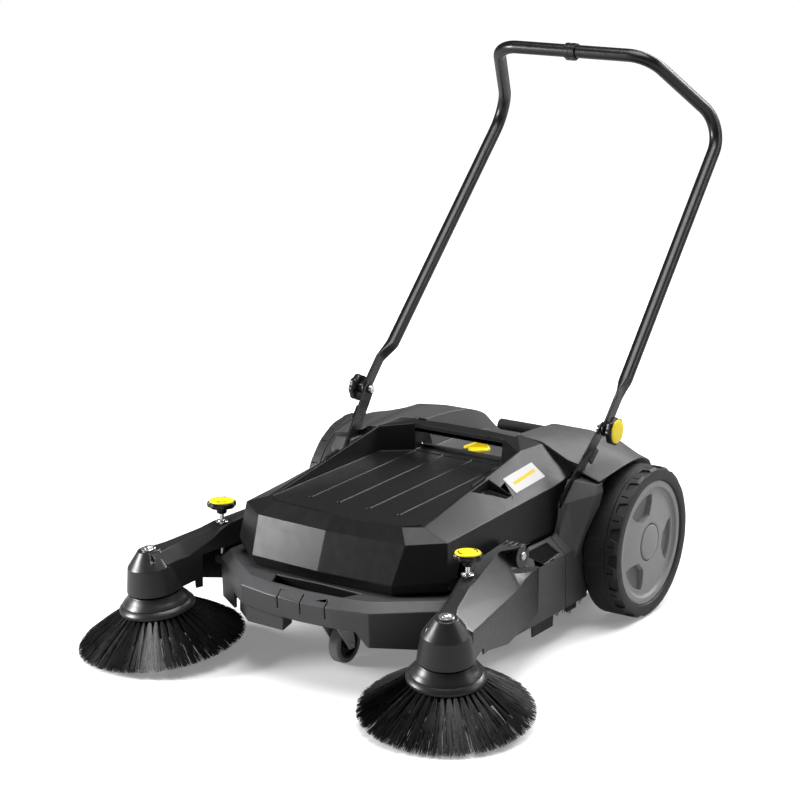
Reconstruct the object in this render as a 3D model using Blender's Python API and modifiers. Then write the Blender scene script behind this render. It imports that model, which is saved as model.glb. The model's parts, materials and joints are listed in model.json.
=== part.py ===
"""Walk behind sweeper: a push sweeper with a roller brush between its wheels and two side brushes in front.

Metres, +Z up. The machine faces -Y, and X is across it. Everything hangs from the empty "machine", whose own
origin is on the ground under the wheel axle, so the y values below are counted from the axle.
Right-hand pieces are modelled, and each left-hand piece is the mirror image of its right-hand one.
"""

from math import atan2, cos, pi, radians, sin

import bmesh
import bpy
from mathutils import Matrix, Vector

# Driving dimensions
AXLE_Y = 0.2051  # places the origin under the middle of the whole machine
GAP = 0.0004  # clearance left between pieces that touch
ROUND = 48  # sides of a large round piece
SMALL_ROUND = 20  # sides of a small one

WHEEL_R = 0.1465
WHEEL_IN, WHEEL_OUT = 0.272, 0.345
LEFT_WHEEL_SHIFT = 0.025
RIM_R = 0.120
AXLE_R = 0.010

GEAR_MODULE = 0.004
GEAR_TEETH, PINION_TEETH = 32, 12
GEAR_IN, GEAR_OUT = 0.246, 0.262
ROLLER_R, ROLLER_Z = 0.124, 0.125
SHAFT_R = 0.008
BRISTLE_ROWS = 16
PITCH_SUM = GEAR_MODULE * (GEAR_TEETH + PINION_TEETH) / 2
ROLLER_Y = -((PITCH_SUM**2 - (WHEEL_R - ROLLER_Z) ** 2) ** 0.5)

PLATE_IN, PLATE_OUT = 0.229, 0.232  # the frame's side plates
BAY_FLOOR = 0.105
WALL = 0.004
COVER_OUT = 0.270
DECK_Z = 0.200

HINGE_Y, HINGE_Z = -0.375, 0.210  # side brush arm's hinge
ARM_IN, ARM_OUT = 0.2435, 0.2745
BRUSH_TOP = Vector((0.319, -0.6915, 0.2007))
BRUSH_AXIS = Vector((0.0634, -0.1181, 0.9910)).normalized()
TIP_R, TIP_DEPTH = 0.1550, 0.1800  # bristle tips, down the brush's axis from its bolt
SCREW_X, SCREW_Y = 0.267, -0.543

CLAMP_Y, CLAMP_Z = -0.068, 0.374  # handle's pivot and clamp knob
TUBE_R = 0.0130
HANDLE_TOP = 1.036

CASTER_R, CASTER_Y, CASTER_TRAIL = 0.037, -0.530, 0.026

COLORS = {
    "frame_plastic": ((0.045, 0.046, 0.048, 1), 0.5, 0.0),
    "container_plastic": ((0.03, 0.03, 0.032, 1), 0.42, 0.0),
    "rubber": ((0.02, 0.02, 0.02, 1), 0.8, 0.0),
    "tyre": ((0.03, 0.03, 0.031, 1), 0.75, 0.0),
    "rim_plastic": ((0.22, 0.22, 0.225, 1), 0.5, 0.0),
    "yellow_plastic": ((0.95, 0.78, 0.02, 1), 0.4, 0.0),
    "knob_plastic": ((0.015, 0.015, 0.016, 1), 0.45, 0.0),
    "bristle": ((0.012, 0.012, 0.012, 1), 0.6, 0.0),
    "tube_paint": ((0.012, 0.012, 0.013, 1), 0.35, 0.0),
    "bright_steel": ((0.75, 0.75, 0.76, 1), 0.2, 1.0),
    "steel": ((0.4, 0.4, 0.41, 1), 0.35, 1.0),
    "caster_tyre": ((0.25, 0.25, 0.25, 1), 0.6, 0.0),
    "label": ((0.85, 0.85, 0.84, 1), 0.4, 0.0),
    "gear_plastic": ((0.6, 0.58, 0.5, 1), 0.5, 0.0),
}

for old in list(bpy.data.objects):
    bpy.data.objects.remove(old, do_unlink=True)
sweeper = bpy.data.collections.new("walk_behind_sweeper")
cutters = bpy.data.collections.new("cutters")
for collection in (sweeper, cutters):
    bpy.context.scene.collection.children.link(collection)
machine = bpy.data.objects.new("machine", None)
machine.location = (0, AXLE_Y, 0)
sweeper.objects.link(machine)
right_pieces = []


# ---- materials and objects


def material(slot):
    found = bpy.data.materials.get(slot)
    if found:
        return found
    color, roughness, metallic = COLORS[slot]
    made = bpy.data.materials.new(slot)
    made.use_nodes = True
    shader = made.node_tree.nodes["Principled BSDF"]
    shader.inputs["Base Color"].default_value = color
    shader.inputs["Roughness"].default_value = roughness
    shader.inputs["Metallic"].default_value = metallic
    return made


def piece(name, mesh, slot, location=(0, 0, 0), rotation=None, twin=True):
    """A sub-part. One whose name starts with right_ gets a left-hand twin at the end, unless twin is off."""
    made = bpy.data.objects.new(name, mesh)
    mesh.name = name
    sweeper.objects.link(made)
    made.parent = machine
    made.location = location
    if rotation is not None:
        made.rotation_mode = "QUATERNION"
        made.rotation_quaternion = rotation
    mesh.materials.clear()
    mesh.materials.append(material(slot))
    mesh.shade_smooth()
    mesh.set_sharp_from_angle(angle=radians(30))
    if twin and name.startswith("right_"):
        right_pieces.append((made, slot))
    return made


def tool(mesh, location=(0, 0, 0), rotation=None):
    """A shape that cuts or joins, kept out of the render."""
    made = bpy.data.objects.new("tool", mesh)
    cutters.objects.link(made)
    made.parent = machine
    made.location = location
    if rotation is not None:
        made.rotation_mode = "QUATERNION"
        made.rotation_quaternion = rotation
    made.hide_render = True
    made.display_type = "WIRE"
    return made


def combine(target, other, operation):
    modifier = target.modifiers.new(operation.lower(), "BOOLEAN")
    modifier.object = other
    modifier.operation = operation
    modifier.solver = "EXACT"
    return target


def cut(target, mesh, **where):
    return combine(target, tool(mesh, **where), "DIFFERENCE")


def join(target, mesh, **where):
    return combine(target, tool(mesh, **where), "UNION")


def evaluated_mesh(obj):
    bpy.context.view_layer.update()
    graph = bpy.context.evaluated_depsgraph_get()
    return bpy.data.meshes.new_from_object(obj.evaluated_get(graph))


# ---- shapes


def mesh_from(bm):
    bmesh.ops.recalc_face_normals(bm, faces=bm.faces)
    mesh = bpy.data.meshes.new("shape")
    bm.to_mesh(mesh)
    bm.free()
    return mesh


def box(low, high):
    low, high = Vector(low), Vector(high)
    bm = bmesh.new()
    bmesh.ops.create_cube(bm, size=1)
    size = high - low
    bmesh.ops.transform(bm, matrix=Matrix.Diagonal((*size, 1)), verts=bm.verts)
    bmesh.ops.translate(bm, vec=(low + high) / 2, verts=bm.verts)
    return mesh_from(bm)


TURN_TO = {
    "X": Matrix(((0, 0, 1), (1, 0, 0), (0, 1, 0))),
    "Y": Matrix(((1, 0, 0), (0, 0, -1), (0, 1, 0))),
    "Z": Matrix.Identity(3),
}


def prism(outlines, low, high, axis):
    """A flat outline given thickness along an axis: (y, z) points along X, (x, z) along Y, (x, y) along Z."""
    curve = bpy.data.curves.new("outline", "CURVE")
    curve.dimensions = "2D"
    curve.fill_mode = "BOTH"
    curve.extrude = (high - low) / 2
    for points in outlines:
        spline = curve.splines.new("POLY")
        spline.points.add(len(points) - 1)
        for point, (u, v) in zip(spline.points, points):
            point.co = (u, v, 0, 1)
        spline.use_cyclic_u = True
    holder = bpy.data.objects.new("outline", curve)
    cutters.objects.link(holder)
    mesh = evaluated_mesh(holder)
    bpy.data.objects.remove(holder)
    bm = bmesh.new()
    bm.from_mesh(mesh)
    bmesh.ops.remove_doubles(bm, verts=bm.verts, dist=1e-6)
    middle = (low + high) / 2
    turn = TURN_TO[axis].to_4x4()
    shift = {"X": (middle, 0, 0), "Y": (0, middle, 0), "Z": (0, 0, middle)}[axis]
    bmesh.ops.transform(bm, matrix=Matrix.Translation(shift) @ turn, verts=bm.verts)
    return mesh_from(bm)


def loft(rings):
    """A closed solid through rings of as many points each, the first and last of them capped."""
    bm = bmesh.new()
    rows = [[bm.verts.new(point) for point in ring] for ring in rings]
    count = len(rings[0])
    for lower, upper in zip(rows, rows[1:]):
        for i in range(count):
            j = (i + 1) % count
            bm.faces.new((lower[i], lower[j], upper[j], upper[i]))
    bm.faces.new(rows[0])
    bm.faces.new(rows[-1])
    bmesh.ops.triangulate(bm, faces=bm.faces)
    return mesh_from(bm)


def both_sides(half):
    """A ring from its right half, which runs from the front middle to the rear middle."""
    middle_free = [p for p in half if abs(p[0]) > 1e-9]
    return list(half) + [(-x, *rest) for x, *rest in reversed(middle_free)]


def between(first, last, count):
    """Points that divide the line between two others evenly."""
    return [tuple(Vector(first).lerp(Vector(last), (i + 1) / (count + 1))) for i in range(count)]


def turned(profile, steps):
    """A shape turned about Z from a profile of (radius, z) that runs down its outer side."""
    mesh = bpy.data.meshes.new("profile")
    closed_on_axis = profile[0][0] < 1e-9
    edges = [(i, i + 1) for i in range(len(profile) - 1)]
    if not closed_on_axis:
        edges.append((len(profile) - 1, 0))
    mesh.from_pydata([(r, 0, z) for r, z in profile], edges, [])
    holder = bpy.data.objects.new("profile", mesh)
    cutters.objects.link(holder)
    screw = holder.modifiers.new("screw", "SCREW")
    screw.steps = screw.render_steps = steps
    screw.use_merge_vertices = True
    screw.merge_threshold = 0.00001
    made = evaluated_mesh(holder)
    bpy.data.objects.remove(holder)
    bm = bmesh.new()
    bm.from_mesh(made)
    bmesh.ops.remove_doubles(bm, verts=bm.verts, dist=1e-6)
    # flats, not corners, face straight down on a wheel
    bmesh.ops.rotate(bm, verts=bm.verts, cent=(0, 0, 0), matrix=Matrix.Rotation(pi / steps, 3, "Z"))
    return mesh_from(bm)


def rod(radius, low, high, steps=SMALL_ROUND):
    return turned([(0, high), (radius, high), (radius, low), (0, low)], steps)


def arc(centre, radius, start, end, count):
    """Points along an arc, angles in degrees."""
    turn = [radians(start + (end - start) * i / (count - 1)) for i in range(count)]
    return [(centre[0] + radius * cos(t), centre[1] + radius * sin(t)) for t in turn]


def lobed(radius, depth, lobes, points_each=6):
    """The outline of a knob with finger hollows."""
    count = lobes * points_each
    turn = [2 * pi * i / count for i in range(count)]
    return [(
        (radius + depth * cos(lobes * t)) * cos(t), (radius + depth * cos(lobes * t)) * sin(t),
    ) for t in turn]


def gear_outline(teeth, phase):
    """A spur gear's outline with straight flanks and a tooth centred on the angle phase."""
    pitch = GEAR_MODULE * teeth / 2
    root, tip = pitch - 1.25 * GEAR_MODULE, pitch + 0.9 * GEAR_MODULE
    points = []
    for tooth in range(teeth):
        middle = phase + 2 * pi * tooth / teeth
        for radius, half in ((root, 0.44), (tip, 0.17), (tip, -0.17), (root, -0.44)):
            angle = middle - half * 1.35 * GEAR_MODULE * pi / 2 / radius * (1 if radius > pitch else 0.95)
            points.append((radius * cos(angle), radius * sin(angle)))
    return points


def along_x():
    return Vector((0, 0, 1)).rotation_difference(Vector((1, 0, 0)))


def along(direction):
    return Vector((0, 0, 1)).rotation_difference(Vector(direction))


def circle(radius, count=SMALL_ROUND, centre=(0, 0)):
    return [
        (centre[0] + radius * cos(2 * pi * i / count), centre[1] + radius * sin(2 * pi * i / count))
        for i in range(count)
    ]


# ---- frame


def base_frame():
    """Moulded frame: bumper, container bay, side plates and rear plate, all one piece."""
    lower = [
        (0, -0.668, 0.094), (0.070, -0.664, 0.094), (0.137, -0.651, 0.092), (0.253, -0.560, 0.082),
        (0.261, -0.546, 0.080), (0.261, -0.455, 0.078), (0.2315, -0.430, 0.078),
    ]
    edge = [
        (0, -0.674, 0.155), (0.070, -0.669, 0.155), (0.137, -0.655, 0.155), (0.255, -0.562, 0.157),
        (0.2625, -0.546, 0.157), (0.2625, -0.455, 0.157), (0.2315, -0.430, 0.157),
    ]
    top = [
        (0, -0.656, 0.171), (0.067, -0.651, 0.171), (0.130, -0.638, 0.171), (0.243, -0.552, 0.171),
        (0.249, -0.541, 0.171), (0.249, -0.455, 0.171), (0.2315, -0.433, 0.171),
    ]
    frame = piece("base_frame", loft([both_sides(line) for line in (lower, edge, top)]), "frame_plastic")
    bay = [(0, -0.596), (0.142, -0.587), (0.213, -0.533), (0.2285, -0.505), (0.2285, -0.420)]
    cut(frame, prism([both_sides(bay)], BAY_FLOOR + WALL, 0.200, "Z"))
    under = [(0, -0.662), (0.068, -0.658), (0.132, -0.646), (0.248, -0.556), (0.256, -0.543), (0.256, -0.420)]
    cut(frame, prism([both_sides(under)], 0.000, BAY_FLOOR, "Z"))
    arch = [(-0.186, 0.000), (0.140, 0.000), (0.133, 0.092), (0.111, 0.118), (-0.186, 0.118)]
    cut(frame, prism([arch], -0.70, -0.60, "Y"))
    block = [(-0.050, -0.648), (-0.131, -0.645), (-0.178, -0.607), (-0.060, -0.607)]
    join(frame, prism([block], 0.084, 0.1225, "Z"))
    grip = [(0, -0.650), (0.076, -0.645), (0.092, -0.610), (0, -0.606)]
    cut(frame, prism([both_sides(grip)], 0.128, 0.2, "Z"))
    join(frame, box((-PLATE_IN - 0.001, -0.440, BAY_FLOOR), (PLATE_IN + 0.001, -0.236, BAY_FLOOR + WALL)))
    apron = [
        (-0.2400, BAY_FLOOR + 0.001), (-0.2400, BAY_FLOOR + WALL), (-0.2320, BAY_FLOOR + WALL),
        (-0.2020, 0.030), (-0.2060, 0.030),
    ]
    join(frame, prism([apron], -PLATE_IN - 0.001, PLATE_IN + 0.001, "X"))
    side = [
        (-0.450, 0.040), (-0.450, 0.165), (-0.236, 0.165), (-0.224, 0.200), (-0.224, 0.232),
        (-0.104, 0.232), (-0.098, 0.262), (0.040, 0.262), (0.066, 0.236), (0.066, 0.040),
    ]
    shaft_hole = circle(0.0098, centre=(ROLLER_Y, ROLLER_Z))
    for sign in (-1, 1):
        low, high = sorted((sign * PLATE_IN, sign * PLATE_OUT))
        join(frame, prism([side, shaft_hole], low, high, "X"))
        low, high = sorted((sign * 0.231, sign * 0.2765))
        join(frame, box((low, SCREW_Y - 0.010, 0.142), (high, SCREW_Y + 0.010, 0.158)))
    join(frame, box((-PLATE_IN - 0.001, 0.0625, 0.045), (PLATE_IN + 0.001, 0.066, 0.236)))
    return frame


HOOD_TOP = (  # lines (x, y, z) from front to rear, from the middle of the hood outwards
    [(0.000, -0.1075, 0.290), (0.000, -0.030, 0.290), (0.000, 0.010, 0.290), (0.000, 0.050, 0.288),
     (0.000, 0.120, 0.276), (0.000, 0.168, 0.250), (0.000, 0.1705, 0.195)],
    [(0.088, -0.1075, 0.290), (0.088, -0.030, 0.290), (0.086, 0.010, 0.290), (0.084, 0.050, 0.288),
     (0.086, 0.120, 0.276), (0.090, 0.167, 0.250), (0.094, 0.1705, 0.195)],
    [(0.104, -0.1075, 0.3440), (0.104, -0.030, 0.340), (0.102, 0.010, 0.336), (0.100, 0.050, 0.330),
     (0.104, 0.115, 0.304), (0.112, 0.157, 0.262), (0.118, 0.1700, 0.195)],
    [(0.158, -0.1075, 0.339), (0.158, -0.030, 0.338), (0.158, 0.010, 0.335), (0.158, 0.050, 0.329),
     (0.158, 0.115, 0.304), (0.158, 0.156, 0.262), (0.158, 0.1690, 0.195)],
    [(0.215, -0.1100, 0.312), (0.215, -0.030, 0.326), (0.215, 0.010, 0.326), (0.215, 0.050, 0.323),
     (0.215, 0.110, 0.296), (0.215, 0.150, 0.258), (0.215, 0.1690, 0.195)],
    [(0.262, -0.1300, 0.299), (0.264, -0.030, 0.312), (0.264, 0.018, 0.309), (0.262, 0.062, 0.2985),
     (0.262, 0.110, 0.272), (0.262, 0.150, 0.235), (0.262, 0.1680, 0.195)],
    [(0.300, -0.1370, 0.292), (0.304, -0.045, 0.303), (0.300, 0.020, 0.3005), (0.291, 0.073, 0.2840),
     (0.280, 0.108, 0.262), (0.276, 0.135, 0.232), (0.272, 0.152, 0.195)],
)


def rear_hood():
    """Upper cover: a deck between two humps that reach out over the wheels. A bent sheet with thickness."""
    bm = bmesh.new()
    mirrored = [[(-x, y, z) for x, y, z in line] for line in reversed(HOOD_TOP[1:])]
    sections = mirrored + list(HOOD_TOP)
    rows = [[bm.verts.new(point) for point in line] for line in sections]
    for left, right in zip(rows, rows[1:]):
        for i in range(len(left) - 1):
            bm.faces.new((left[i], right[i], right[i + 1], left[i + 1]))
    bmesh.ops.recalc_face_normals(bm, faces=bm.faces)
    mesh = bpy.data.meshes.new("shape")
    bm.to_mesh(mesh)
    bm.free()
    if mesh.polygons[0].normal.z < 0:
        mesh.flip_normals()
    hood = piece("rear_hood", mesh, "frame_plastic")
    shell = hood.modifiers.new("shell", "SOLIDIFY")
    shell.thickness = 0.003
    shell.offset = -1
    for flip in (1, -1):
        slot = strip(0.0008)
        slot.transform(Matrix.Diagonal((flip, 1, 1, 1)))
        if flip < 0:
            slot.flip_normals()
        cut(hood, slot)
    cut(hood, box((-0.2425, -0.150, 0.250), (0.2425, -0.1078, 0.400)))  # room to lift the container out
    return hood


def side_cover():
    """Belt cover on one side, with the deck beside the container and the pillar for the handle's bracket."""
    section = [
        (0.2330, 0.058), (COVER_OUT, 0.058), (COVER_OUT, 0.165), (0.252, DECK_Z), (0.2430, DECK_Z),
        (0.2430, 0.180), (0.2330, 0.180),
    ]
    cover = piece("right_side_cover", prism([section], -0.390, -0.118, "Y"), "frame_plastic")
    cut(
        cover,
        prism(
            [[(-0.46, 0.30), (-0.347, 0.30), (-0.347, 0.135), (-0.393, 0.080), (-0.46, 0.05)]], 0.20, 0.30,
            "X",
        ),
    )
    hollow = [
        (0.20, 0.0), (0.2665, 0.0), (0.2665, 0.163), (0.2505, 0.1955), (0.2465, 0.1955), (0.2465, 0.1765),
        (0.20, 0.1765),
    ]
    cut(cover, prism([hollow], -0.400, -0.122, "Y"))
    foot = [
        (0.2435, -0.205, 0.1965), (0.2535, -0.205, 0.1965), (COVER_OUT, -0.168, 0.150),
        (COVER_OUT, -0.1183, 0.150), (0.2435, -0.1183, 0.150),
    ]
    shoulder = [
        (0.2435, -0.188, 0.252), (0.2600, -0.180, 0.256), (0.2990, -0.150, 0.270), (0.2990, -0.1183, 0.270),
        (0.2435, -0.1183, 0.276),
    ]
    top = [
        (0.2435, -0.158, 0.2930), (0.2600, -0.154, 0.2930), (0.2960, -0.136, 0.2870),
        (0.2960, -0.1183, 0.2870), (0.2435, -0.1183, 0.2935),
    ]
    join(cover, loft([foot, shoulder, top]))
    cut(
        cover, rod(WHEEL_R + 0.004, WHEEL_IN - 0.002, 0.40, ROUND), location=(0, 0, WHEEL_R),
        rotation=along_x(),
    )
    cut(cover, strip(0.0006))
    return cover


def strip(grow):
    """The bracket's flat strip, leaning outwards as it rises, grown by a margin when it cuts its own slot."""
    half, width = 0.0020 + grow, 0.0140 + grow
    foot = Vector((-0.1755, 0.2610)) if not grow else Vector((-0.1790, 0.2570))
    head = Vector((CLAMP_Y, CLAMP_Z))
    run = (head - foot).normalized()
    side = Vector((-run.y, run.x))
    turn = atan2(side.y, side.x)
    start = [(
        foot.x + width * cos(turn - pi * i / 8), foot.y + width * sin(turn - pi * i / 8),
    ) for i in range(0, -9, -1)]
    end = [(
        head.x + width * cos(turn + pi + pi * i / 8), head.y + width * sin(turn + pi + pi * i / 8),
    ) for i in range(9)]
    mesh = prism([start + end], 0.2645 - half, 0.2645 + half, "X")
    lean = Matrix.Identity(4)
    lean[0][2] = 0.150
    shift = Matrix.Translation((-0.150 * CLAMP_Z, 0, 0))
    mesh.transform(shift @ lean)
    return mesh


def handle_bracket():
    bracket = piece("right_handle_bracket", strip(0), "tube_paint")
    cut(bracket, rod(0.0052, -0.02, 0.02), location=(0.2645, CLAMP_Y, CLAMP_Z), rotation=along_x())
    return bracket


def brush_tunnel():
    """Arched cover over the roller brush, down to the rear seal."""
    centre = (ROLLER_Y, ROLLER_Z)
    outside = arc(centre, 0.1335, 165, 0, 21) + [(ROLLER_Y + 0.1335, 0.050)]
    inside = [(ROLLER_Y + 0.1305, 0.050)] + arc(centre, 0.1305, 0, 165, 21)
    return piece(
        "brush_tunnel", prism([outside + inside], -PLATE_IN + GAP, PLATE_IN - GAP, "X"), "frame_plastic",
    )


def seals():
    rear_y = ROLLER_Y + 0.1345
    piece("rear_seal", box((-0.222, rear_y, 0.004), (0.222, rear_y + 0.003, 0.075)), "rubber")
    flap = [
        (-0.318, 0.090), (-0.150, 0.090), (-0.150, 0.045), (-0.185, 0.045), (-0.190, 0.070),
        (-0.235, 0.070), (-0.238, 0.034), (-0.312, 0.034),
    ]
    piece("right_side_seal", prism([flap], 0.2625, 0.2655, "X"), "rubber")


def grip_bar():
    bar = piece("rear_grip_bar", rod(0.014, -0.120, 0.120, 24), "rubber", (0, 0.203, 0.262), along_x())
    for x in (-0.065, 0.065):
        join(bar, rod(0.010, 0, 0.0312, 16), location=(x, 0.203, 0.2400), rotation=along((0, -1, 0)))
        join(bar, box((x - 0.009, 0.196, 0.236), (x + 0.009, 0.210, 0.256)))
    return bar


# ---- drive


def wheel(side, sign, shift):
    """One wheel and its axle stub. The left wheel stands further out than the right one, on a longer hub."""
    half = (WHEEL_OUT - WHEEL_IN) / 2
    middle = WHEEL_IN + half + shift
    place, turn = (sign * middle, 0, WHEEL_R), along((sign, 0, 0))
    tread = WHEEL_R / cos(pi / ROUND)
    flank = [(RIM_R + 0.0005, half - 0.004), (0.132, half), (0.1425, half - 0.0005), (tread, half - 0.006)]
    profile = flank + [(radius, -z) for radius, z in reversed(flank)]
    piece(side + "_tyre", turned(profile, ROUND), "tyre", place, turn, twin=False)
    inner = GEAR_OUT + 0.0015 - middle
    rim = [
        (AXLE_R + 0.0006, half - 0.014), (0.0355, half - 0.014), (0.0365, half - 0.006),
        (0.060, half - 0.006),
        (0.104, half - 0.010), (0.108, half - 0.004), (RIM_R, half - 0.004), (RIM_R, 0.004 - half),
        (0.112, 0.004 - half), (0.102, half - 0.017), (0.026, half - 0.022), (0.022, inner),
        (AXLE_R + 0.0006, inner),
    ]
    piece(side + "_rim", turned(rim, ROUND), "rim_plastic", place, turn, twin=False)
    cap = [
        (0, half - 0.004), (0.031, half - 0.004), (0.0345, half - 0.006), (0.0345, half - 0.0135),
        (0, half - 0.0135),
    ]
    piece(side + "_hub_cap", turned(cap, 32), "rim_plastic", place, turn, twin=False)
    flange, foot = 0.2375 - middle, PLATE_OUT + GAP - middle
    axle = [
        (0, half - 0.016), (AXLE_R, half - 0.016), (AXLE_R, flange), (0.022, flange), (0.022, foot),
        (0, foot),
    ]
    piece(side + "_axle", turned(axle, SMALL_ROUND), "steel", place, turn, twin=False)


def gears():
    """Wheel gear and the pinion that it turns on the roller's shaft, in mesh at rest."""
    to_roller = atan2(ROLLER_Z - WHEEL_R, ROLLER_Y)
    gap_in_line = to_roller + pi / GEAR_TEETH
    gear = prism([gear_outline(GEAR_TEETH, gap_in_line), circle(AXLE_R + 0.0006)], GEAR_IN, GEAR_OUT, "X")
    piece("right_wheel_gear", gear, "gear_plastic", (0, 0, WHEEL_R))
    pinion = prism(
        [gear_outline(PINION_TEETH, to_roller + pi), circle(SHAFT_R + GAP)], GEAR_IN, GEAR_OUT, "X",
    )
    piece("right_pinion", pinion, "gear_plastic", (0, ROLLER_Y, ROLLER_Z))


def bristle_rows():
    """The roller's end view: rows of bristles that fan out a little towards their tips."""
    points = []
    for row in range(BRISTLE_ROWS):
        middle = 2 * pi * row / BRISTLE_ROWS + pi / 2
        for radius, half in ((0.049, 0.16), (ROLLER_R, 0.075), (ROLLER_R, -0.075), (0.049, -0.16)):
            points.append((radius * cos(middle - half), radius * sin(middle - half)))
    return points


def roller():
    place = (0, ROLLER_Y, ROLLER_Z)
    core_end, shaft_end = 0.2235, 0.2660
    core = [
        (0, shaft_end), (SHAFT_R, shaft_end), (SHAFT_R, core_end), (0.045, core_end), (0.045, -core_end),
        (SHAFT_R, -core_end), (SHAFT_R, -shaft_end), (0, -shaft_end),
    ]
    piece("roller_shaft", turned(core, SMALL_ROUND + 4), "knob_plastic", place, along_x())
    piece(
        "roller_bristles", prism([bristle_rows(), circle(0.0455, 24)], -0.2215, 0.2215, "X"), "bristle",
        place,
    )


# ---- side brush


def arm_outline(inset):
    """The arm from above. Behind the hinge only a thin outer skirt is left, lapping over the side cover."""
    return [
        (ARM_IN + inset, -0.352), (ARM_IN + inset, -0.470), (0.262 + inset, -0.600), (0.276 + inset, -0.690),
        (0.316, -0.700), (0.357 - inset, -0.668), (0.2785 - inset, -0.315), (0.2708 - inset, -0.315),
        (0.2708 - inset, -0.352),
    ]


def arm_side(lower_top):
    """The arm's outline from the side."""
    return [
        (-0.310, 0.1725 - lower_top), (-0.352, 0.184 - lower_top), (-0.362, 0.228 - lower_top),
        (-0.400, 0.232 - lower_top),
        (-0.543, 0.2175 - lower_top), (-0.670, 0.198 - lower_top), (-0.720, 0.186 - lower_top),
        (-0.720, 0.121), (-0.588, 0.111), (-0.483, 0.085), (-0.310, 0.085),
    ]


def arm():
    """Side brush arm: a channel open underneath, with a hinge boss behind and the brush's cap in front."""
    body = piece("right_arm", prism([arm_outline(0)], 0.05, 0.25, "Z"), "frame_plastic")
    combine(body, tool(prism([arm_side(0)], 0.20, 0.40, "X")), "INTERSECT")
    slope = [
        [(0.2550, -0.300, 0.1945), (0.3050, -0.300, 0.1470), (0.3300, -0.300, 0.2600)],
        [(0.2550, -0.396, 0.2150), (0.3050, -0.396, 0.1675), (0.3300, -0.396, 0.2600)],
        [(0.2550, -0.425, 0.2268), (0.3050, -0.425, 0.1678), (0.3300, -0.425, 0.2600)],
        [(0.3150, -0.664, 0.2039), (0.3600, -0.664, 0.1696), (0.3900, -0.664, 0.2500)],
        [(0.3370, -0.757, 0.1946), (0.3800, -0.757, 0.1744), (0.4000, -0.757, 0.2300)],
    ]
    cut(body, loft(slope))
    inside = tool(prism([arm_outline(WALL)], 0.0, 0.25, "Z"))
    hollow = [(-0.404, 0.020), (-0.404, 0.186), (-0.543, 0.186), (-0.690, 0.170), (-0.690, 0.020)]
    combine(inside, tool(prism([hollow], 0.20, 0.40, "X")), "INTERSECT")
    skin = [[(x - 0.0024, y, z - 0.0024) for x, y, z in ring] for ring in slope]
    combine(inside, tool(loft(skin)), "DIFFERENCE")
    combine(body, inside, "DIFFERENCE")
    cut(body, box((0.20, -0.605, 0.0), (0.2670, -0.330, 0.1745)))
    cut(
        body,
        prism(
            [[
                (-0.360, 0.150), (-0.404, 0.100), (-0.404, 0.020), (-0.300, 0.020), (-0.300, 0.195),
                (-0.352, 0.195),
            ]],
            0.20, 0.2707, "X",
        ),
    )
    middle = (ARM_IN + ARM_OUT) / 2
    join(
        body, rod(0.0225, ARM_IN - middle, 0.2785 - middle, 24), location=(middle, HINGE_Y, HINGE_Z),
        rotation=along_x(),
    )
    cap = [(0, -0.0035), (0.0200, -0.0035), (0.0428, -0.0330), (0.0505, -0.0800), (0, -0.0800)]
    join(body, turned(cap, 32), location=BRUSH_TOP, rotation=along(BRUSH_AXIS))
    cut(body, rod(0.0750, -0.20, -0.0830, 32), location=BRUSH_TOP, rotation=along(BRUSH_AXIS))
    cut(body, rod(0.0075, -0.20, 0.05), location=BRUSH_TOP, rotation=along(BRUSH_AXIS))
    cut(body, rod(0.0056, -0.06, 0.06), location=(middle, HINGE_Y, HINGE_Z), rotation=along_x())
    cut(body, rod(0.0052, 0.10, 0.30), location=(SCREW_X, SCREW_Y, 0))
    return body


def arm_pin():
    pin = [
        (0, 0.2818), (0.0070, 0.2812), (0.0080, 0.2789), (0.0050, 0.2789), (0.0050, PLATE_OUT + GAP),
        (0, PLATE_OUT + GAP),
    ]
    piece("right_arm_pin", turned(pin, 16), "steel", (0, HINGE_Y, HINGE_Z), along_x())


def side_brush():
    """Hub flange, bristles and bolt, all turned about the tilted axis."""
    turn = along(BRUSH_AXIS)
    bolt = [
        (0, 0.0035), (0.0065, 0.0030), (0.0080, 0), (0.0135, -0.0005), (0.0135, -0.0030), (0.0065, -0.0030),
        (0.0065, -0.0830), (0, -0.0830),
    ]
    piece("right_brush_bolt", turned(bolt, 24), "bright_steel", BRUSH_TOP, turn)
    hub = [
        (0, -0.0835), (0.0480, -0.0835), (0.0520, -0.0900), (0.0645, -0.1010), (0.0690, -0.1130),
        (0.0660, -0.1160), (0, -0.1160),
    ]
    piece("right_brush_hub", turned(hub, 36), "frame_plastic", BRUSH_TOP, turn)
    bristles = [(0.0460, -0.1164), (0.0650, -0.1164), (TIP_R, -TIP_DEPTH), (0.1320, -TIP_DEPTH)]
    piece("right_side_bristles", turned(bristles, 36), "bristle", BRUSH_TOP, turn)


def arm_knob():
    """Screw that sets the arm's height, with its lobed knob and yellow cap."""
    place = (SCREW_X, SCREW_Y, 0)
    screw = [
        (0, 0.2480), (0.0042, 0.2480), (0.0042, 0.2225), (0.0115, 0.2225), (0.0115, 0.2205),
        (0.0042, 0.2205), (0.0042, 0.1585), (0, 0.1585),
    ]
    piece("right_arm_screw", turned(screw, 16), "bright_steel", place)
    knob = piece(
        "right_arm_knob", prism([lobed(0.0260, 0.0011, 8)], 0.2485, 0.2600, "Z"), "knob_plastic", place,
    )
    join(knob, turned([(0, 0.2500), (0.0105, 0.2500), (0.0095, 0.2370), (0, 0.2370)], 16), location=place)
    cut(knob, rod(0.0046, 0.200, 0.2484), location=place)
    cut(knob, rod(0.0232, 0.2582, 0.2700, 32), location=place)
    piece(
        "right_arm_knob_cap",
        turned([(0, 0.2630), (0.0210, 0.2625), (0.0228, 0.2605), (0.0228, 0.2586), (0, 0.2586)], 32),
        "yellow_plastic", place,
    )


# ---- container


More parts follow.
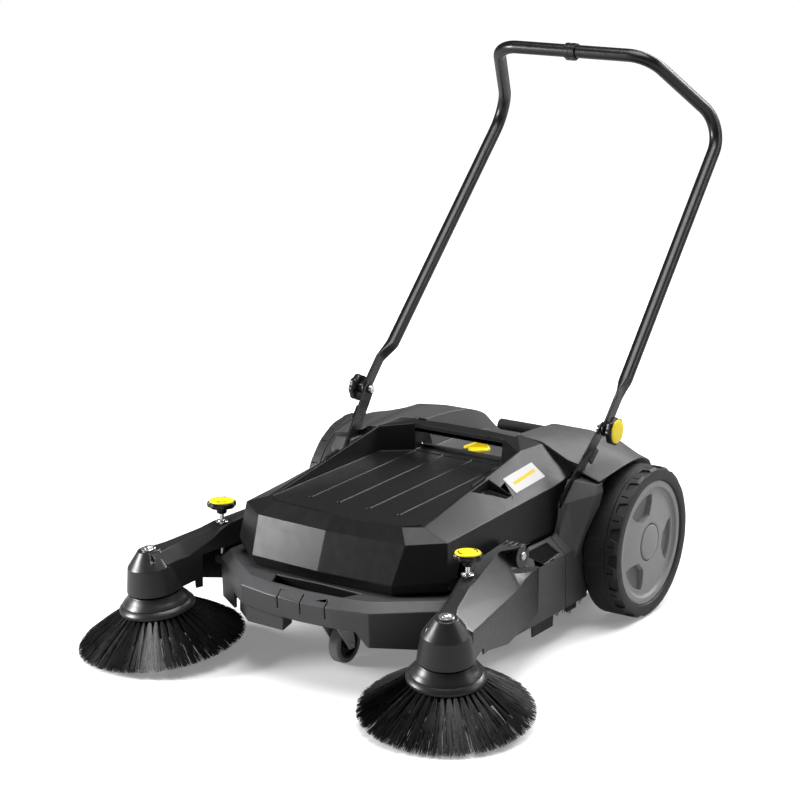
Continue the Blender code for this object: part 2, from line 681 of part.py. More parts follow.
def container():
    """Debris container: open at the back, towards the roller, with a sunk tray and an arch to lift it by."""
    rear = -0.1085
    rings = [
        [
            (0, -0.603, 0.174), (0.147, -0.596, 0.174), (0.223, -0.538, 0.180), (0.2390, -0.174, 0.190),
            (0.2390, rear, 0.190), (0.104, rear, 0.190), (0, rear, 0.190),
        ],
        [
            (0, -0.614, 0.195), (0.151, -0.604, 0.194), (0.227, -0.543, 0.198), (0.2400, -0.174, 0.205),
            (0.2400, rear, 0.205), (0.104, rear, 0.205), (0, rear, 0.205),
        ],
        [
            (0, -0.588, 0.263), (0.159, -0.574, 0.261), (0.218, -0.532, 0.265), (0.2300, -0.174, 0.284),
            (0.2260, rear, 0.290), (0.104, rear, 0.288), (0, rear, 0.288),
        ],
        [
            (0, -0.566, 0.286), (0.138, -0.553, 0.285), (0.168, -0.530, 0.284), (0.1600, -0.191, 0.342),
            (0.1600, rear, 0.338), (0.104, rear, 0.350), (0, rear, 0.354),
        ],
    ]
    # The long sides twist, so they take short steps.
    rings = [r[:3] + between(r[2], r[3], 7) + r[3:] for r in rings]
    body = piece("container", loft([both_sides(r) for r in rings]), "container_plastic")
    lower = [(0, -0.592), (0.139, -0.583), (0.209, -0.529), (0.2255, -0.500), (0.2255, -0.2290), (0, -0.2290)]
    join(body, prism([both_sides(lower)], BAY_FLOOR + WALL + GAP, 0.195, "Z"))
    floor = [
        (0, -0.560, 0.285), (0.140, -0.550, 0.285), (0.160, -0.529, 0.285), (0.152, -0.196, 0.293),
        (0.098, -0.155, 0.294), (0, -0.155, 0.294),
    ]
    brim = [
        (0, -0.569, 0.400), (0.146, -0.558, 0.400), (0.171, -0.530, 0.400), (0.161, -0.190, 0.400),
        (0.103, -0.149, 0.400), (0, -0.149, 0.400),
    ]
    cut(body, loft([both_sides(floor), both_sides(brim)]))
    cut(body, box((-0.098, -0.170, 0.2950), (0.098, -0.100, 0.331)))
    cut(body, box((-0.112, -0.1270, 0.2950), (0.112, -0.100, 0.400)))
    cut(body, box((-0.2300, -0.2292, 0.100), (0.2300, -0.100, 0.2605)))
    cut(body, box((-0.2332, -0.2292, 0.100), (0.2332, -0.100, 0.2335)))
    cut(body, box((-0.1500, -0.2292, 0.100), (0.1500, -0.100, 0.2860)))
    inside = [
        [
            (0, -0.587, 0.1135), (0.137, -0.578, 0.1135), (0.205, -0.526, 0.1135), (0.2215, -0.497, 0.1135),
            (0.2215, -0.220, 0.1135), (0, -0.220, 0.1135),
        ],
        [
            (0, -0.588, 0.181), (0.137, -0.579, 0.181), (0.206, -0.527, 0.181), (0.2215, -0.497, 0.181),
            (0.2215, -0.220, 0.181), (0, -0.220, 0.181),
        ],
        [
            (0, -0.606, 0.201), (0.149, -0.596, 0.201), (0.220, -0.538, 0.201), (0.2330, -0.497, 0.201),
            (0.2355, -0.220, 0.201), (0, -0.220, 0.201),
        ],
        [
            (0, -0.576, 0.258), (0.152, -0.564, 0.256), (0.208, -0.524, 0.258), (0.2150, -0.497, 0.260),
            (0.2240, -0.220, 0.268), (0, -0.220, 0.268),
        ],
        [
            (0, -0.560, 0.278), (0.135, -0.548, 0.278), (0.160, -0.522, 0.278), (0.1600, -0.497, 0.279),
            (0.1480, -0.220, 0.2855), (0, -0.220, 0.2855),
        ],
    ]
    cut(body, loft([both_sides(r) for r in inside]))
    return body


def on_rim(x, y, lift):
    """A point so far above the container's sloping right-hand rim."""
    inner, outer = (y + 0.530) / 0.339, (y + 0.532) / 0.358
    inner_x, inner_z = 0.168 - 0.008 * inner, 0.284 + 0.058 * inner
    outer_x, outer_z = 0.218 + 0.012 * outer, 0.265 + 0.019 * outer
    share = (x - inner_x) / (outer_x - inner_x)
    return x + 0.6 * lift, y, inner_z + (outer_z - inner_z) * share + 0.8 * lift


def container_trim(body):
    """The rubber strip under the arch, and a thin plate that takes the shape of the right-hand rim."""
    piece("grip_strip", box((-0.096, -0.1265, 0.2954), (0.096, -0.1180, 0.3010)), "rubber")
    outline = [(0.1788, -0.2845), (0.2083, -0.2845), (0.2107, -0.1840), (0.1826, -0.1880)]
    front = between((*outline[0], 0), (*outline[3], 0), 4)
    rear = between((*outline[1], 0), (*outline[2], 0), 4)
    upper = [(*outline[0], 0), *front, (*outline[3], 0)]
    lower = [(*outline[1], 0), *rear, (*outline[2], 0)]
    skins = []
    for lift in (-0.010, 0.0011):
        skins.append([on_rim(x, y, lift) for x, y, _ in upper + lower[::-1]])
    plate = piece("label_plate", loft(skins), "label")
    cut(plate, evaluated_mesh(body), location=(0.0002, 0, 0.0004))


def height_knob():
    """Yellow turning knob on the deck that sets the roller's height, its fin towards the front left."""
    place, turn = (0, -0.076, 0.2906), Matrix.Rotation(radians(33), 3, "Z").to_quaternion()
    disc = turned([(0, 0.0080), (0.0200, 0.0080), (0.0220, 0.0050), (0.0220, 0.0), (0, 0.0)], 28)
    knob = piece("height_knob", disc, "yellow_plastic", place, turn)
    fin = [
        [(-0.030, -0.006, 0.006), (0.018, -0.008, 0.006), (0.018, 0.008, 0.006), (-0.030, 0.006, 0.006)],
        [(-0.030, -0.002, 0.009), (0.012, -0.003, 0.024), (0.012, 0.003, 0.024), (-0.030, 0.002, 0.009)],
    ]
    join(knob, loft(fin), location=place, rotation=turn)


# ---- handle


def rounded_route(corners, radius, steps):
    """Points along straight runs joined by arcs at every inner corner."""
    points = [Vector(corners[0])]
    for before, corner, after in zip(corners, corners[1:], corners[2:]):
        corner = Vector(corner)
        back, on = (Vector(before) - corner).normalized(), (Vector(after) - corner).normalized()
        half = back.angle(on) / 2
        start, middle = corner + back * radius / tan_of(half), (back + on).normalized()
        centre = corner + middle * radius / sin(half)
        first, last = start - centre, corner + on * radius / tan_of(half) - centre
        turn = first.angle(last)
        axis = first.cross(last).normalized()
        points += [centre + Matrix.Rotation(turn * i / steps, 3, axis) @ first for i in range(steps + 1)]
    return points + [Vector(corners[-1])]


def tan_of(angle):
    return sin(angle) / cos(angle)


def round_bar(route, radius):
    """A round bar swept along a route, with flat ends."""
    curve = bpy.data.curves.new("tube", "CURVE")
    curve.dimensions = "3D"
    curve.bevel_depth = radius
    curve.bevel_resolution = 3
    curve.use_fill_caps = True
    spline = curve.splines.new("POLY")
    spline.points.add(len(route) - 1)
    for point, place in zip(spline.points, route):
        point.co = (*place, 1)
    holder = bpy.data.objects.new("tube", curve)
    cutters.objects.link(holder)
    mesh = evaluated_mesh(holder)
    bpy.data.objects.remove(holder)
    bm = bmesh.new()
    bm.from_mesh(mesh)
    bmesh.ops.remove_doubles(bm, verts=bm.verts, dist=1e-5)
    return mesh_from(bm)


def handle():
    """One side of the handle: a hollow bent tube, flattened at its foot, and the coupler in the middle."""
    corners = [
        (0.2675, -0.020, 0.4100), (0.2530, 0.4280, 0.8900), (0.1700, 0.2515, HANDLE_TOP),
        (0.0006, 0.2515, HANDLE_TOP),
    ]
    route = rounded_route(corners, 0.062, 7)
    tube = piece("right_handle_tube", round_bar(route, TUBE_R), "tube_paint")
    start = route[0].lerp(route[1], 0.03)
    cut(tube, round_bar([start, *route[1:-1], Vector((-0.004, 0.2515, HANDLE_TOP))], TUBE_R - 0.0015))
    run = Vector((0.462, 0.490)).normalized()
    side = Vector((-run.y, run.x)) * 0.0135
    end = Vector((CLAMP_Y, CLAMP_Z))
    top = Vector((-0.010, 0.4206))
    turn = atan2(side.y, side.x)
    tip = [(
        end.x + 0.0135 * cos(turn + pi * i / 8), end.y + 0.0135 * sin(turn + pi * i / 8),
    ) for i in range(9)]
    flat = tip + [tuple(top - side), tuple(top + side)]
    join(tube, prism([flat], 0.2690, 0.2748, "X"))
    cut(tube, rod(0.0052, -0.02, 0.02), location=(0.271, CLAMP_Y, CLAMP_Z), rotation=along_x())
    coupler = [(TUBE_R + 0.0004, 0.012), (0.0165, 0.012), (0.0165, -0.012), (TUBE_R + 0.0004, -0.012)]
    piece("handle_coupler", turned(coupler, 24), "knob_plastic", (0, 0.2515, HANDLE_TOP), along_x())


def clamp():
    place = (0, CLAMP_Y, CLAMP_Z)
    bolt = [(0, 0.2886), (0.0040, 0.2886), (0.0040, 0.2610), (0.0085, 0.2610), (0.0075, 0.2560), (0, 0.2550)]
    piece("right_clamp_bolt", turned(bolt, 16), "bright_steel", place, along_x())
    knob = piece(
        "right_clamp_knob", prism([lobed(0.0260, 0.0011, 8)], 0.2840, 0.2975, "X"), "knob_plastic", place,
    )
    join(knob, rod(0.0110, 0.2752, 0.2850, 16), location=place, rotation=along_x())
    cut(knob, rod(0.0045, 0.2700, 0.2892, 16), location=place, rotation=along_x())
    cut(knob, rod(0.0232, 0.2957, 0.3050, 32), location=place, rotation=along_x())
    cap = [(0, 0.3002), (0.0210, 0.2998), (0.0228, 0.2980), (0.0228, 0.2961), (0, 0.2961)]
    piece("right_clamp_cap", turned(cap, 32), "yellow_plastic", place, along_x())


# ---- caster


def caster():
    swivel_y = CASTER_Y - CASTER_TRAIL
    plate = piece(
        "caster_plate", box((-0.034, swivel_y - 0.028, 0.1012), (0.034, swivel_y + 0.032, 0.1046)), "steel",
    )
    join(plate, rod(0.019, 0.0935, 0.1020, 24), location=(0, swivel_y, 0))
    fork = piece(
        "caster_fork", box((-0.0180, swivel_y - 0.020, 0.0900), (0.0180, swivel_y + 0.020, 0.0930)),
        "steel",
    )
    leg = [
        (swivel_y - 0.020, 0.0920), (swivel_y + 0.020, 0.0920), (CASTER_Y + 0.008, 0.0400),
        (CASTER_Y + 0.006, 0.0280), (CASTER_Y - 0.008, 0.0280), (swivel_y - 0.020, 0.0780),
    ]
    for sign in (-1, 1):
        low, high = sorted((sign * 0.0148, sign * 0.0178))
        join(fork, prism([leg], low, high, "X"))
    join(fork, rod(0.0040, -0.0200, 0.0200, 16), location=(0, CASTER_Y, CASTER_R), rotation=along_x())
    steps = 40
    outer = CASTER_R / cos(pi / steps)
    tyre = [
        (0.0275, 0.0110), (outer - 0.002, 0.0110), (outer, 0.0085), (outer, -0.0085),
        (outer - 0.002, -0.0110), (0.0275, -0.0110),
    ]
    piece("caster_tyre", turned(tyre, steps), "caster_tyre", (0, CASTER_Y, CASTER_R), along_x())
    core = [
        (0.0045, 0.0135), (0.0100, 0.0135), (0.0110, 0.0060), (0.0220, 0.0060), (0.0225, 0.0110),
        (0.0270, 0.0110), (0.0270, -0.0110), (0.0225, -0.0110), (0.0220, -0.0060), (0.0110, -0.0060),
        (0.0100, -0.0135), (0.0045, -0.0135),
    ]
    piece("caster_core", turned(core, 24), "knob_plastic", (0, CASTER_Y, CASTER_R), along_x())


# ---- build


def mirror_to_left():
    """Each right-hand piece's mirror image, as an object of its own."""
    flip = Matrix.Diagonal((-1, 1, 1, 1))
    for right, slot in right_pieces:
        mesh = evaluated_mesh(right)
        x, y, z = right.location
        mesh.transform(flip @ right.matrix_basis)
        mesh.flip_normals()
        mesh.transform(Matrix.Translation((x, -y, -z)))
        piece(right.name.replace("right_", "left_"), mesh, slot, (-x, y, z))


base_frame()
rear_hood()
side_cover()
handle_bracket()
brush_tunnel()
seals()
grip_bar()
wheel("right", 1, 0)
wheel("left", -1, LEFT_WHEEL_SHIFT)
gears()
roller()
arm()
arm_pin()
side_brush()
arm_knob()
container_trim(container())
height_knob()
handle()
clamp()
caster()
mirror_to_left()
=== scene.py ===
"""Looks of the walk behind sweeper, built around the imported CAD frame. Metres, +Z up, the front faces -Y.

Shapes are made in axle coordinates, with y counted from the wheels' axle, and every piece's object stands
there. Right-hand shapes are modelled, and most left-hand ones are their mirror images.
"""

import json
from math import cos, pi, radians, sin, tan
from random import Random

import bmesh
import bpy
from mathutils import Matrix, Vector

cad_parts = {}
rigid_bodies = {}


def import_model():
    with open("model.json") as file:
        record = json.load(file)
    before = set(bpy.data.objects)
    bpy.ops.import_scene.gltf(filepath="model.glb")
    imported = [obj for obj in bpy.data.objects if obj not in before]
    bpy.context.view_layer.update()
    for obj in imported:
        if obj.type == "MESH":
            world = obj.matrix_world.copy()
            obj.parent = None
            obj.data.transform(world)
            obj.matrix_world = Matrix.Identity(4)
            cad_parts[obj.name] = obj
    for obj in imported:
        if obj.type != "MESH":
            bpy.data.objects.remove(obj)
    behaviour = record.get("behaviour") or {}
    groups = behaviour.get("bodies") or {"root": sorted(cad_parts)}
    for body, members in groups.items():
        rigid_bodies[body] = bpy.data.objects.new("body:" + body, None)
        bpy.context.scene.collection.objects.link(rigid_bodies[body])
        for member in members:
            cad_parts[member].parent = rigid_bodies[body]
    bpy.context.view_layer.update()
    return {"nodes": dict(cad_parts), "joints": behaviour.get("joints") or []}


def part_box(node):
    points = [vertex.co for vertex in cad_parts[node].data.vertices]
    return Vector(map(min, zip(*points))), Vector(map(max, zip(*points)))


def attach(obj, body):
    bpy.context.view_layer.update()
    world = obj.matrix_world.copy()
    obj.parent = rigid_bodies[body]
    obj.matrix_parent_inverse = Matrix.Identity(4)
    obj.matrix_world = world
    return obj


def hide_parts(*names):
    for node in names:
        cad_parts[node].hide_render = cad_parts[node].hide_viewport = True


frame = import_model()



def centre_of(node):
    """The middle of a CAD node's box."""
    low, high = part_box(node)
    return [(a + b) / 2 for a, b in zip(low, high)]


_, axle_y, WHEEL_R = centre_of("right_axle")
AXLE = Vector((0, axle_y, 0))


def on_middle_plane(node):
    """A CAD node's middle in axle coordinates, moved sideways to the machine's middle plane."""
    _, y, z = centre_of(node)
    return Vector((0, y - AXLE.y, z))


HINGE = on_middle_plane("right_arm_pin")
CLAMP = on_middle_plane("right_clamp_bolt")
ROLLER = on_middle_plane("roller_shaft")
knob_x, knob_y, _ = centre_of("right_arm_knob")
SCREW = Vector((knob_x, knob_y - AXLE.y, 0))
spin = next(j for j in frame["joints"] if j["name"] == "right_brush_spin")
BRUSH_AXIS = Vector(spin["axis"]).normalized()
BRUSH_TOP = Vector((0.319, -0.6915, 0.2007))  # top of the right side brush's hub, on its axis
BRUSH_TURN = Vector((0, 0, 1)).rotation_difference(BRUSH_AXIS).to_matrix().to_4x4()
ALONG_X = Matrix(((0, 0, 1, 0), (1, 0, 0, 0), (0, 1, 0, 0), (0, 0, 0, 1)))  # turns +Z to +X
WELD = 0.00002  # metres within which vertices count as one
rng = Random(7)


# ---- materials


def link(tree, source, target):
    tree.links.new(source, target)


def noise(tree, coordinates, scale, detail):
    node = tree.nodes.new("ShaderNodeTexNoise")
    node.inputs["Scale"].default_value = scale
    node.inputs["Detail"].default_value = detail
    link(tree, coordinates, node.inputs["Vector"])
    return node.outputs["Fac"]


def to_range(tree, value, low, high):
    """The middle of a noise's span, stretched to a range."""
    node = tree.nodes.new("ShaderNodeMapRange")
    node.inputs["From Min"].default_value = 0.3
    node.inputs["From Max"].default_value = 0.7
    node.inputs["To Min"].default_value = low
    node.inputs["To Max"].default_value = high
    link(tree, value, node.inputs["Value"])
    return node.outputs["Result"]


def mixed(tree, factor, first, second):
    """A blend of two colours, each a constant or another node's output."""
    node = tree.nodes.new("ShaderNodeMix")
    node.data_type = "RGBA"
    for socket, value in ((node.inputs[6], first), (node.inputs[7], second)):
        if isinstance(value, tuple):
            socket.default_value = (*value, 1)
        else:
            link(tree, value, socket)
    link(tree, factor, node.inputs[0])
    return node.outputs[2]


def math(tree, operation, value, constant):
    """A math node on an output and a constant."""
    node = tree.nodes.new("ShaderNodeMath")
    node.operation = operation
    node.inputs[1].default_value = constant
    link(tree, value, node.inputs[0])
    return node


def finish(name, color, rough, tint=0.12, spread=0.05, grain=0.25, size=0.0011, metallic=0.0, shine=0.5):
    """A moulded, painted or metal finish: broad drift of its colour, patches of gloss, and a fine grain."""
    made = bpy.data.materials.new(name)
    made.use_nodes = True
    tree = made.node_tree
    shader = tree.nodes["Principled BSDF"]
    shader.inputs["Base Color"].default_value = (*color, 1)
    shader.inputs["Roughness"].default_value = rough
    shader.inputs["Metallic"].default_value = metallic
    shader.inputs["Specular IOR Level"].default_value = shine
    where = tree.nodes.new("ShaderNodeTexCoord").outputs["Object"]
    darker = tuple(c * (1 - tint) for c in color)
    lighter = tuple(min(1, c * (1 + tint)) for c in color)
    drift = to_range(tree, noise(tree, where, 9, 3), 0, 1)
    specks = to_range(tree, noise(tree, where, 0.6 / size, 2), 0, 1)
    blend = math(tree, "MULTIPLY_ADD", specks, 0.35)
    link(tree, math(tree, "MULTIPLY", drift, 0.65).outputs[0], blend.inputs[2])
    link(tree, mixed(tree, blend.outputs[0], darker, lighter), shader.inputs["Base Color"])
    gloss = to_range(tree, noise(tree, where, 55, 3), rough - spread, rough + spread)
    link(tree, gloss, shader.inputs["Roughness"])
    bump = tree.nodes.new("ShaderNodeBump")
    bump.inputs["Strength"].default_value = grain
    bump.inputs["Distance"].default_value = 0.0002
    link(tree, noise(tree, where, 1 / size, 3), bump.inputs["Height"])
    link(tree, bump.outputs["Normal"], shader.inputs["Normal"])
    return made


FINISHES = {  # finish: (the record's slot, material)
    "frame": (
        "frame_plastic", finish("frame_plastic", (0.058, 0.0588, 0.061), 0.45, spread=0.04, grain=0.12),
    ),
    # Arms and brush flanges: the frame plastic in a darker copy, its darkening painted shade for parts that
    # sit in shadow.
    "arm": ("frame_plastic", finish("shaded_frame_plastic", (0.020, 0.0203, 0.0212), 0.33, spread=0.03, grain=0.12)),
    "container": (
        "container_plastic",
        finish("container_plastic", (0.010, 0.0101, 0.0106), 0.35, spread=0.03, grain=0.06, shine=0.24),
    ),
    # Near black: the arch latch and the height knob's ring, and painted shade in the bumper's grip, the
    # covers' recesses and inside the side brushes' tufts.
    "dark": ("rubber", finish("black_parts_and_painted_shade", (0.0022, 0.0022, 0.0024), 0.7, shine=0.12)),
    "rubber": ("rubber", finish("rubber", (0.009, 0.009, 0.0094), 0.60, grain=0.3, size=0.0016)),
    "tyre": ("tyre", finish("tyre_rubber", (0.018, 0.018, 0.019), 0.56, tint=0.2, grain=0.3, size=0.0014)),
    "rim": ("rim_plastic", finish("rim_plastic", (0.27, 0.272, 0.276), 0.50, tint=0.06, grain=0.3)),
    # The rims' pocket floors in a darker grey than the rim: painted shade in the pockets.
    "rim_pocket": ("rim_plastic", finish("rim_pocket", (0.13, 0.131, 0.134), 0.55, tint=0.08, grain=0.3)),
    "yellow": ("yellow_plastic", finish("yellow_plastic", (0.95, 0.74, 0.004), 0.42, tint=0.04, grain=0.15)),
    "knob": ("knob_plastic", finish("knob_plastic", (0.006, 0.006, 0.0063), 0.32, grain=0.1)),
    "bristle": (
        "bristle", finish("bristle_nylon", (0.006, 0.006, 0.0062), 0.30, tint=0.5, grain=0.2, size=0.003),
    ),
    "tube": ("tube_paint", finish("powder_coat", (0.006, 0.006, 0.0064), 0.30, grain=0.12, size=0.0007)),
    "bright": (
        "bright_steel",
        finish("chromed_steel", (0.80, 0.80, 0.81), 0.22, tint=0.05, spread=0.03, grain=0.02, metallic=0.92),
    ),
    "steel": (
        "steel",
        finish("zinc_steel", (0.62, 0.62, 0.63), 0.33, tint=0.12, grain=0.06, size=0.002, metallic=0.75),
    ),
    "caster": ("caster_tyre", finish("caster_rubber", (0.27, 0.27, 0.273), 0.58, tint=0.08, grain=0.3)),
    "gear": ("gear_plastic", finish("gear_nylon", (0.58, 0.56, 0.48), 0.46, tint=0.05, grain=0.15)),
    "print": ("knob_plastic", finish("dark_print", (0.02, 0.019, 0.012), 0.5)),
}


def label_finish():
    """White printed film with a yellow band along its middle."""
    made = finish("printed_label", (0.62, 0.62, 0.61), 0.5, tint=0.03, grain=0.05, shine=0.2)
    tree = made.node_tree
    shader = tree.nodes["Principled BSDF"]
    white = shader.inputs["Base Color"].links[0].from_socket
    split = tree.nodes.new("ShaderNodeSeparateXYZ")
    link(tree, tree.nodes.new("ShaderNodeTexCoord").outputs["Object"], split.inputs[0])
    inside = None
    for axis, middle, half in (("X", 0.1950, 0.0026), ("Y", -0.2340, 0.0370)):
        away = math(tree, "SUBTRACT", split.outputs[axis], middle)
        size = math(tree, "ABSOLUTE", away.outputs[0], 0)
        near = math(tree, "LESS_THAN", size.outputs[0], half)
        if inside is None:
            inside = near.outputs[0]
        else:
            product = math(tree, "MULTIPLY", inside, 1)
            link(tree, near.outputs[0], product.inputs[1])
            inside = product.outputs[0]
    link(tree, mixed(tree, inside, white, (0.70, 0.49, 0.005)), shader.inputs["Base Color"])
    return made


FINISHES["label"] = ("label", label_finish())


# ---- shapes


def mesh_from(bm):
    bmesh.ops.recalc_face_normals(bm, faces=bm.faces)
    mesh = bpy.data.meshes.new("shape")
    bm.to_mesh(mesh)
    bm.free()
    return mesh


def box(low, high):
    bm = bmesh.new()
    low, high = Vector(low), Vector(high)
    bmesh.ops.create_cube(
        bm, size=1, matrix=Matrix.Translation((low + high) / 2) @ Matrix.Diagonal((*(high - low), 1)),
    )
    return mesh_from(bm)


def loft(rings, closed=False):
    """A skin through rings of as many points each, capped at both ends unless it closes on itself."""
    bm = bmesh.new()
    rows = [[bm.verts.new(point) for point in ring] for ring in rings]
    count = len(rings[0])
    pairs = list(zip(rows, rows[1:])) + ([(rows[-1], rows[0])] if closed else [])
    for lower, upper in pairs:
        for i in range(count):
            j = (i + 1) % count
            bm.faces.new((lower[i], lower[j], upper[j], upper[i]))
    if not closed:
        bm.faces.new(rows[0])
        bm.faces.new(rows[-1])
    return mesh_from(bm)


def prism(outline, low, high, axis):
    """A flat outline given thickness along an axis: (y, z) points along X, (x, z) along Y, (x, y) along Z."""
    def place(u, v, w):
        return {"X": (w, u, v), "Y": (u, w, v), "Z": (u, v, w)}[axis]

    return loft([[place(u, v, w) for u, v in outline] for w in (low, high)])


def turned(profile, steps, turn=None):
    """A shape turned about Z from (radius, z) points down its outer side, closed on the axis or as a ring."""
    bm = bmesh.new()
    on_axis = profile[0][0] < 1e-7
    inner = profile[1:-1] if on_axis else profile
    columns = []
    for i in range(steps):
        t = 2 * pi * (i + 0.5) / steps
        columns.append([bm.verts.new((r * cos(t), r * sin(t), z)) for r, z in inner])
    poles = [bm.verts.new((0, 0, profile[0][1])), bm.verts.new((0, 0, profile[-1][1]))] if on_axis else []
    for i in range(steps):
        here, there = columns[i], columns[(i + 1) % steps]
        for k in range(len(inner) - 1):
            bm.faces.new((here[k], there[k], there[k + 1], here[k + 1]))
        if on_axis:
            bm.faces.new((poles[0], there[0], here[0]))
            bm.faces.new((poles[1], here[-1], there[-1]))
        else:
            bm.faces.new((here[-1], there[-1], there[0], here[0]))
    mesh = mesh_from(bm)
    if turn is not None:
        mesh.transform(turn)
    return mesh


def moved(mesh, offset, turn=None):
    if turn is not None:
        mesh.transform(turn)
    mesh.transform(Matrix.Translation(offset))
    return mesh


def joined(meshes):
    bm = bmesh.new()
    for mesh in meshes:
        bm.from_mesh(mesh)
    made = bpy.data.meshes.new("shape")
    bm.to_mesh(made)
    bm.free()
    return made


def mirrored(mesh):
    made = mesh.copy()
    made.transform(Matrix.Diagonal((-1, 1, 1, 1)))
    made.flip_normals()
    return made


def welded(mesh):
    bm = bmesh.new()
    bm.from_mesh(mesh)
    bmesh.ops.remove_doubles(bm, verts=bm.verts, dist=WELD)
    made = bpy.data.meshes.new("shape")
    bm.to_mesh(made)
    bm.free()
    return made


def cleaned(mesh):
    """The mesh with its flat faces whole, so that its corners can be rounded."""
    bm = bmesh.new()
    bm.from_mesh(mesh)
    bmesh.ops.remove_doubles(bm, verts=bm.verts, dist=WELD)
    bmesh.ops.dissolve_limit(bm, angle_limit=radians(0.05), verts=bm.verts, edges=bm.edges)
    bmesh.ops.connect_verts_concave(bm, faces=[f for f in bm.faces if len(f.verts) > 4])
    made = bpy.data.meshes.new("shape")
    bm.to_mesh(made)
    bm.free()
    return made


def cad(node):
    """A CAD node's own shape, in axle coordinates."""
    mesh = frame["nodes"][node].data.copy()
    mesh.transform(Matrix.Translation(-AXLE))
    while mesh.attributes.get("custom_normal"):
        mesh.attributes.remove(mesh.attributes["custom_normal"])
    return welded(mesh)


def carve(mesh, cuts=(), adds=()):
    """The mesh with shapes joined to it, and others cut from it."""
    scene = bpy.context.scene.collection
    work = bpy.data.objects.new("work", mesh)
    scene.objects.link(work)
    others = []
    for shape, operation in [(m, "UNION") for m in adds] + [(m, "DIFFERENCE") for m in cuts]:
        other = bpy.data.objects.new("other", shape)
        scene.objects.link(other)
        others.append(other)
        boolean = work.modifiers.new("carve", "BOOLEAN")
        boolean.object, boolean.operation, boolean.solver = other, operation, "EXACT"
    bpy.context.view_layer.update()
    made = bpy.data.meshes.new_from_object(work.evaluated_get(bpy.context.evaluated_depsgraph_get()))
    for used in [work, *others]:
        bpy.data.objects.remove(used)
    if not made.polygons:
        raise ValueError("a Boolean left nothing")
    return made


def arc(centre, radius, start, end, count):
    turn = [radians(start + (end - start) * i / (count - 1)) for i in range(count)]
    return [(centre[0] + radius * cos(t), centre[1] + radius * sin(t)) for t in turn]


def weighted(mesh, corner, keep_sharp):
    """The mesh with a rounding weight on each steep corner, but none inside a box or its mirror image."""
    low, high = keep_sharp

    def within(co):
        return all(a < value < b for a, value, b in zip(low, (abs(co.x), co.y, co.z), high))

    bm = bmesh.new()
    bm.from_mesh(mesh)
    weight = bm.edges.layers.float.new("bevel_weight_edge")
    for edge in bm.edges:
        inside = all(within(v.co) for v in edge.verts)
        if edge.is_manifold and edge.calc_face_angle() > radians(corner) and not inside:
            edge[weight] = 1.0
    bm.to_mesh(mesh)
    bm.free()
    return mesh


def add(name, mesh, look, body, replaces=(), bevel=0.0, sharp=30, corner=22, segments=2, keep_sharp=None):
    """A piece: its mesh in axle coordinates, its finish, its body, and the CAD nodes it stands for."""
    if bevel:
        mesh = cleaned(mesh)
    if keep_sharp:
        mesh = weighted(mesh, corner, keep_sharp)
    made = bpy.data.objects.new(name, mesh)
    mesh.name = name
    bpy.context.scene.collection.objects.link(made)
    made.location = AXLE
    mesh.materials.clear()
    mesh.materials.append(FINISHES[look][1])
    mesh.shade_smooth()
    mesh.set_sharp_from_angle(angle=radians(sharp))
    if bevel:
        rounding = made.modifiers.new("rounding", "BEVEL")
        rounding.width, rounding.segments = bevel, segments
        rounding.limit_method, rounding.angle_limit = "WEIGHT" if keep_sharp else "ANGLE", radians(corner)
        rounding.use_clamp_overlap = False
        rounding.harden_normals = True
    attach(made, body)
    if replaces:
        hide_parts(*replaces)
    return made


def both(name, mesh, look, body, replaces=(), **more):
    """A right-hand piece and its mirror image. A % in a body or node name stands for the side."""
    for side, shape in (("right", mesh), ("left", mirrored(mesh))):
        nodes = [node.replace("%", side) for node in replaces]
        add(side + "_" + name, shape, look, body.replace("%", side), nodes, **more)


# ---- container


def tray_z(y):
    """Height of the tray's sloping floor."""
    return 0.285 + 0.0240 * (y + 0.529)


def container():
    """The container with grooves in its tray, a pocket in each rim, and the latch under its arch."""
    cuts = []
    for x in (-0.096, -0.034, 0.031, 0.096):
        ends = (-0.495, -0.150)
        line = [(y, tray_z(y) - 0.0016) for y in ends] + [(y, tray_z(y) + 0.010) for y in reversed(ends)]
        cuts.append(prism(line, x - 0.0008, x + 0.0008, "X"))
        pit = [(x - 0.0045, -0.4985), (x + 0.0010, -0.4985), (x + 0.0010, -0.4945), (x - 0.0045, -0.4945)]
        cuts.append(prism(pit, 0.2830, 0.300, "Z"))
    for side in (1, -1):
        floor = [
            (0.1665, -0.372, 0.2965), (0.1665, -0.314, 0.2985), (0.2060, -0.300, 0.2870),
            (0.2050, -0.318, 0.2850),
        ]
        roof = [
            (0.1665, -0.372, 0.340), (0.1665, -0.314, 0.340), (0.2110, -0.298, 0.340),
            (0.2110, -0.318, 0.340),
        ]
        cuts.append(loft([[(side * x, y, z) for x, y, z in ring] for ring in (floor, roof)]))
    thin_wall = ((0.2240, -0.2310, 0.1860), (0.2450, -0.1000, 0.2720))  # rounding would break through it
    add(
        "container_shell", carve(cad("container"), cuts), "container", "container", ["container"],
        bevel=0.0014, corner=7, sharp=7, segments=3, keep_sharp=thin_wall,
    )
    lip = [
        (0.1585, -0.368, 0.3100), (0.1655, -0.368, 0.3100), (0.1655, -0.318, 0.3160),
        (0.1585, -0.318, 0.3160),
    ]
    top = [
        (0.1590, -0.362, 0.3190), (0.1640, -0.362, 0.3185), (0.1640, -0.322, 0.3250),
        (0.1590, -0.322, 0.3255),
    ]
    both("rim_lip", loft([lip, top]), "container", "container", bevel=0.0008)
    latch = [(-0.1275, 0.2895), (-0.1275, 0.2960), (-0.1180, 0.2960), (-0.1180, 0.2870)]
    add("arch_latch", prism(latch, -0.0130, -0.0010, "X"), "dark", "container", bevel=0.0006)


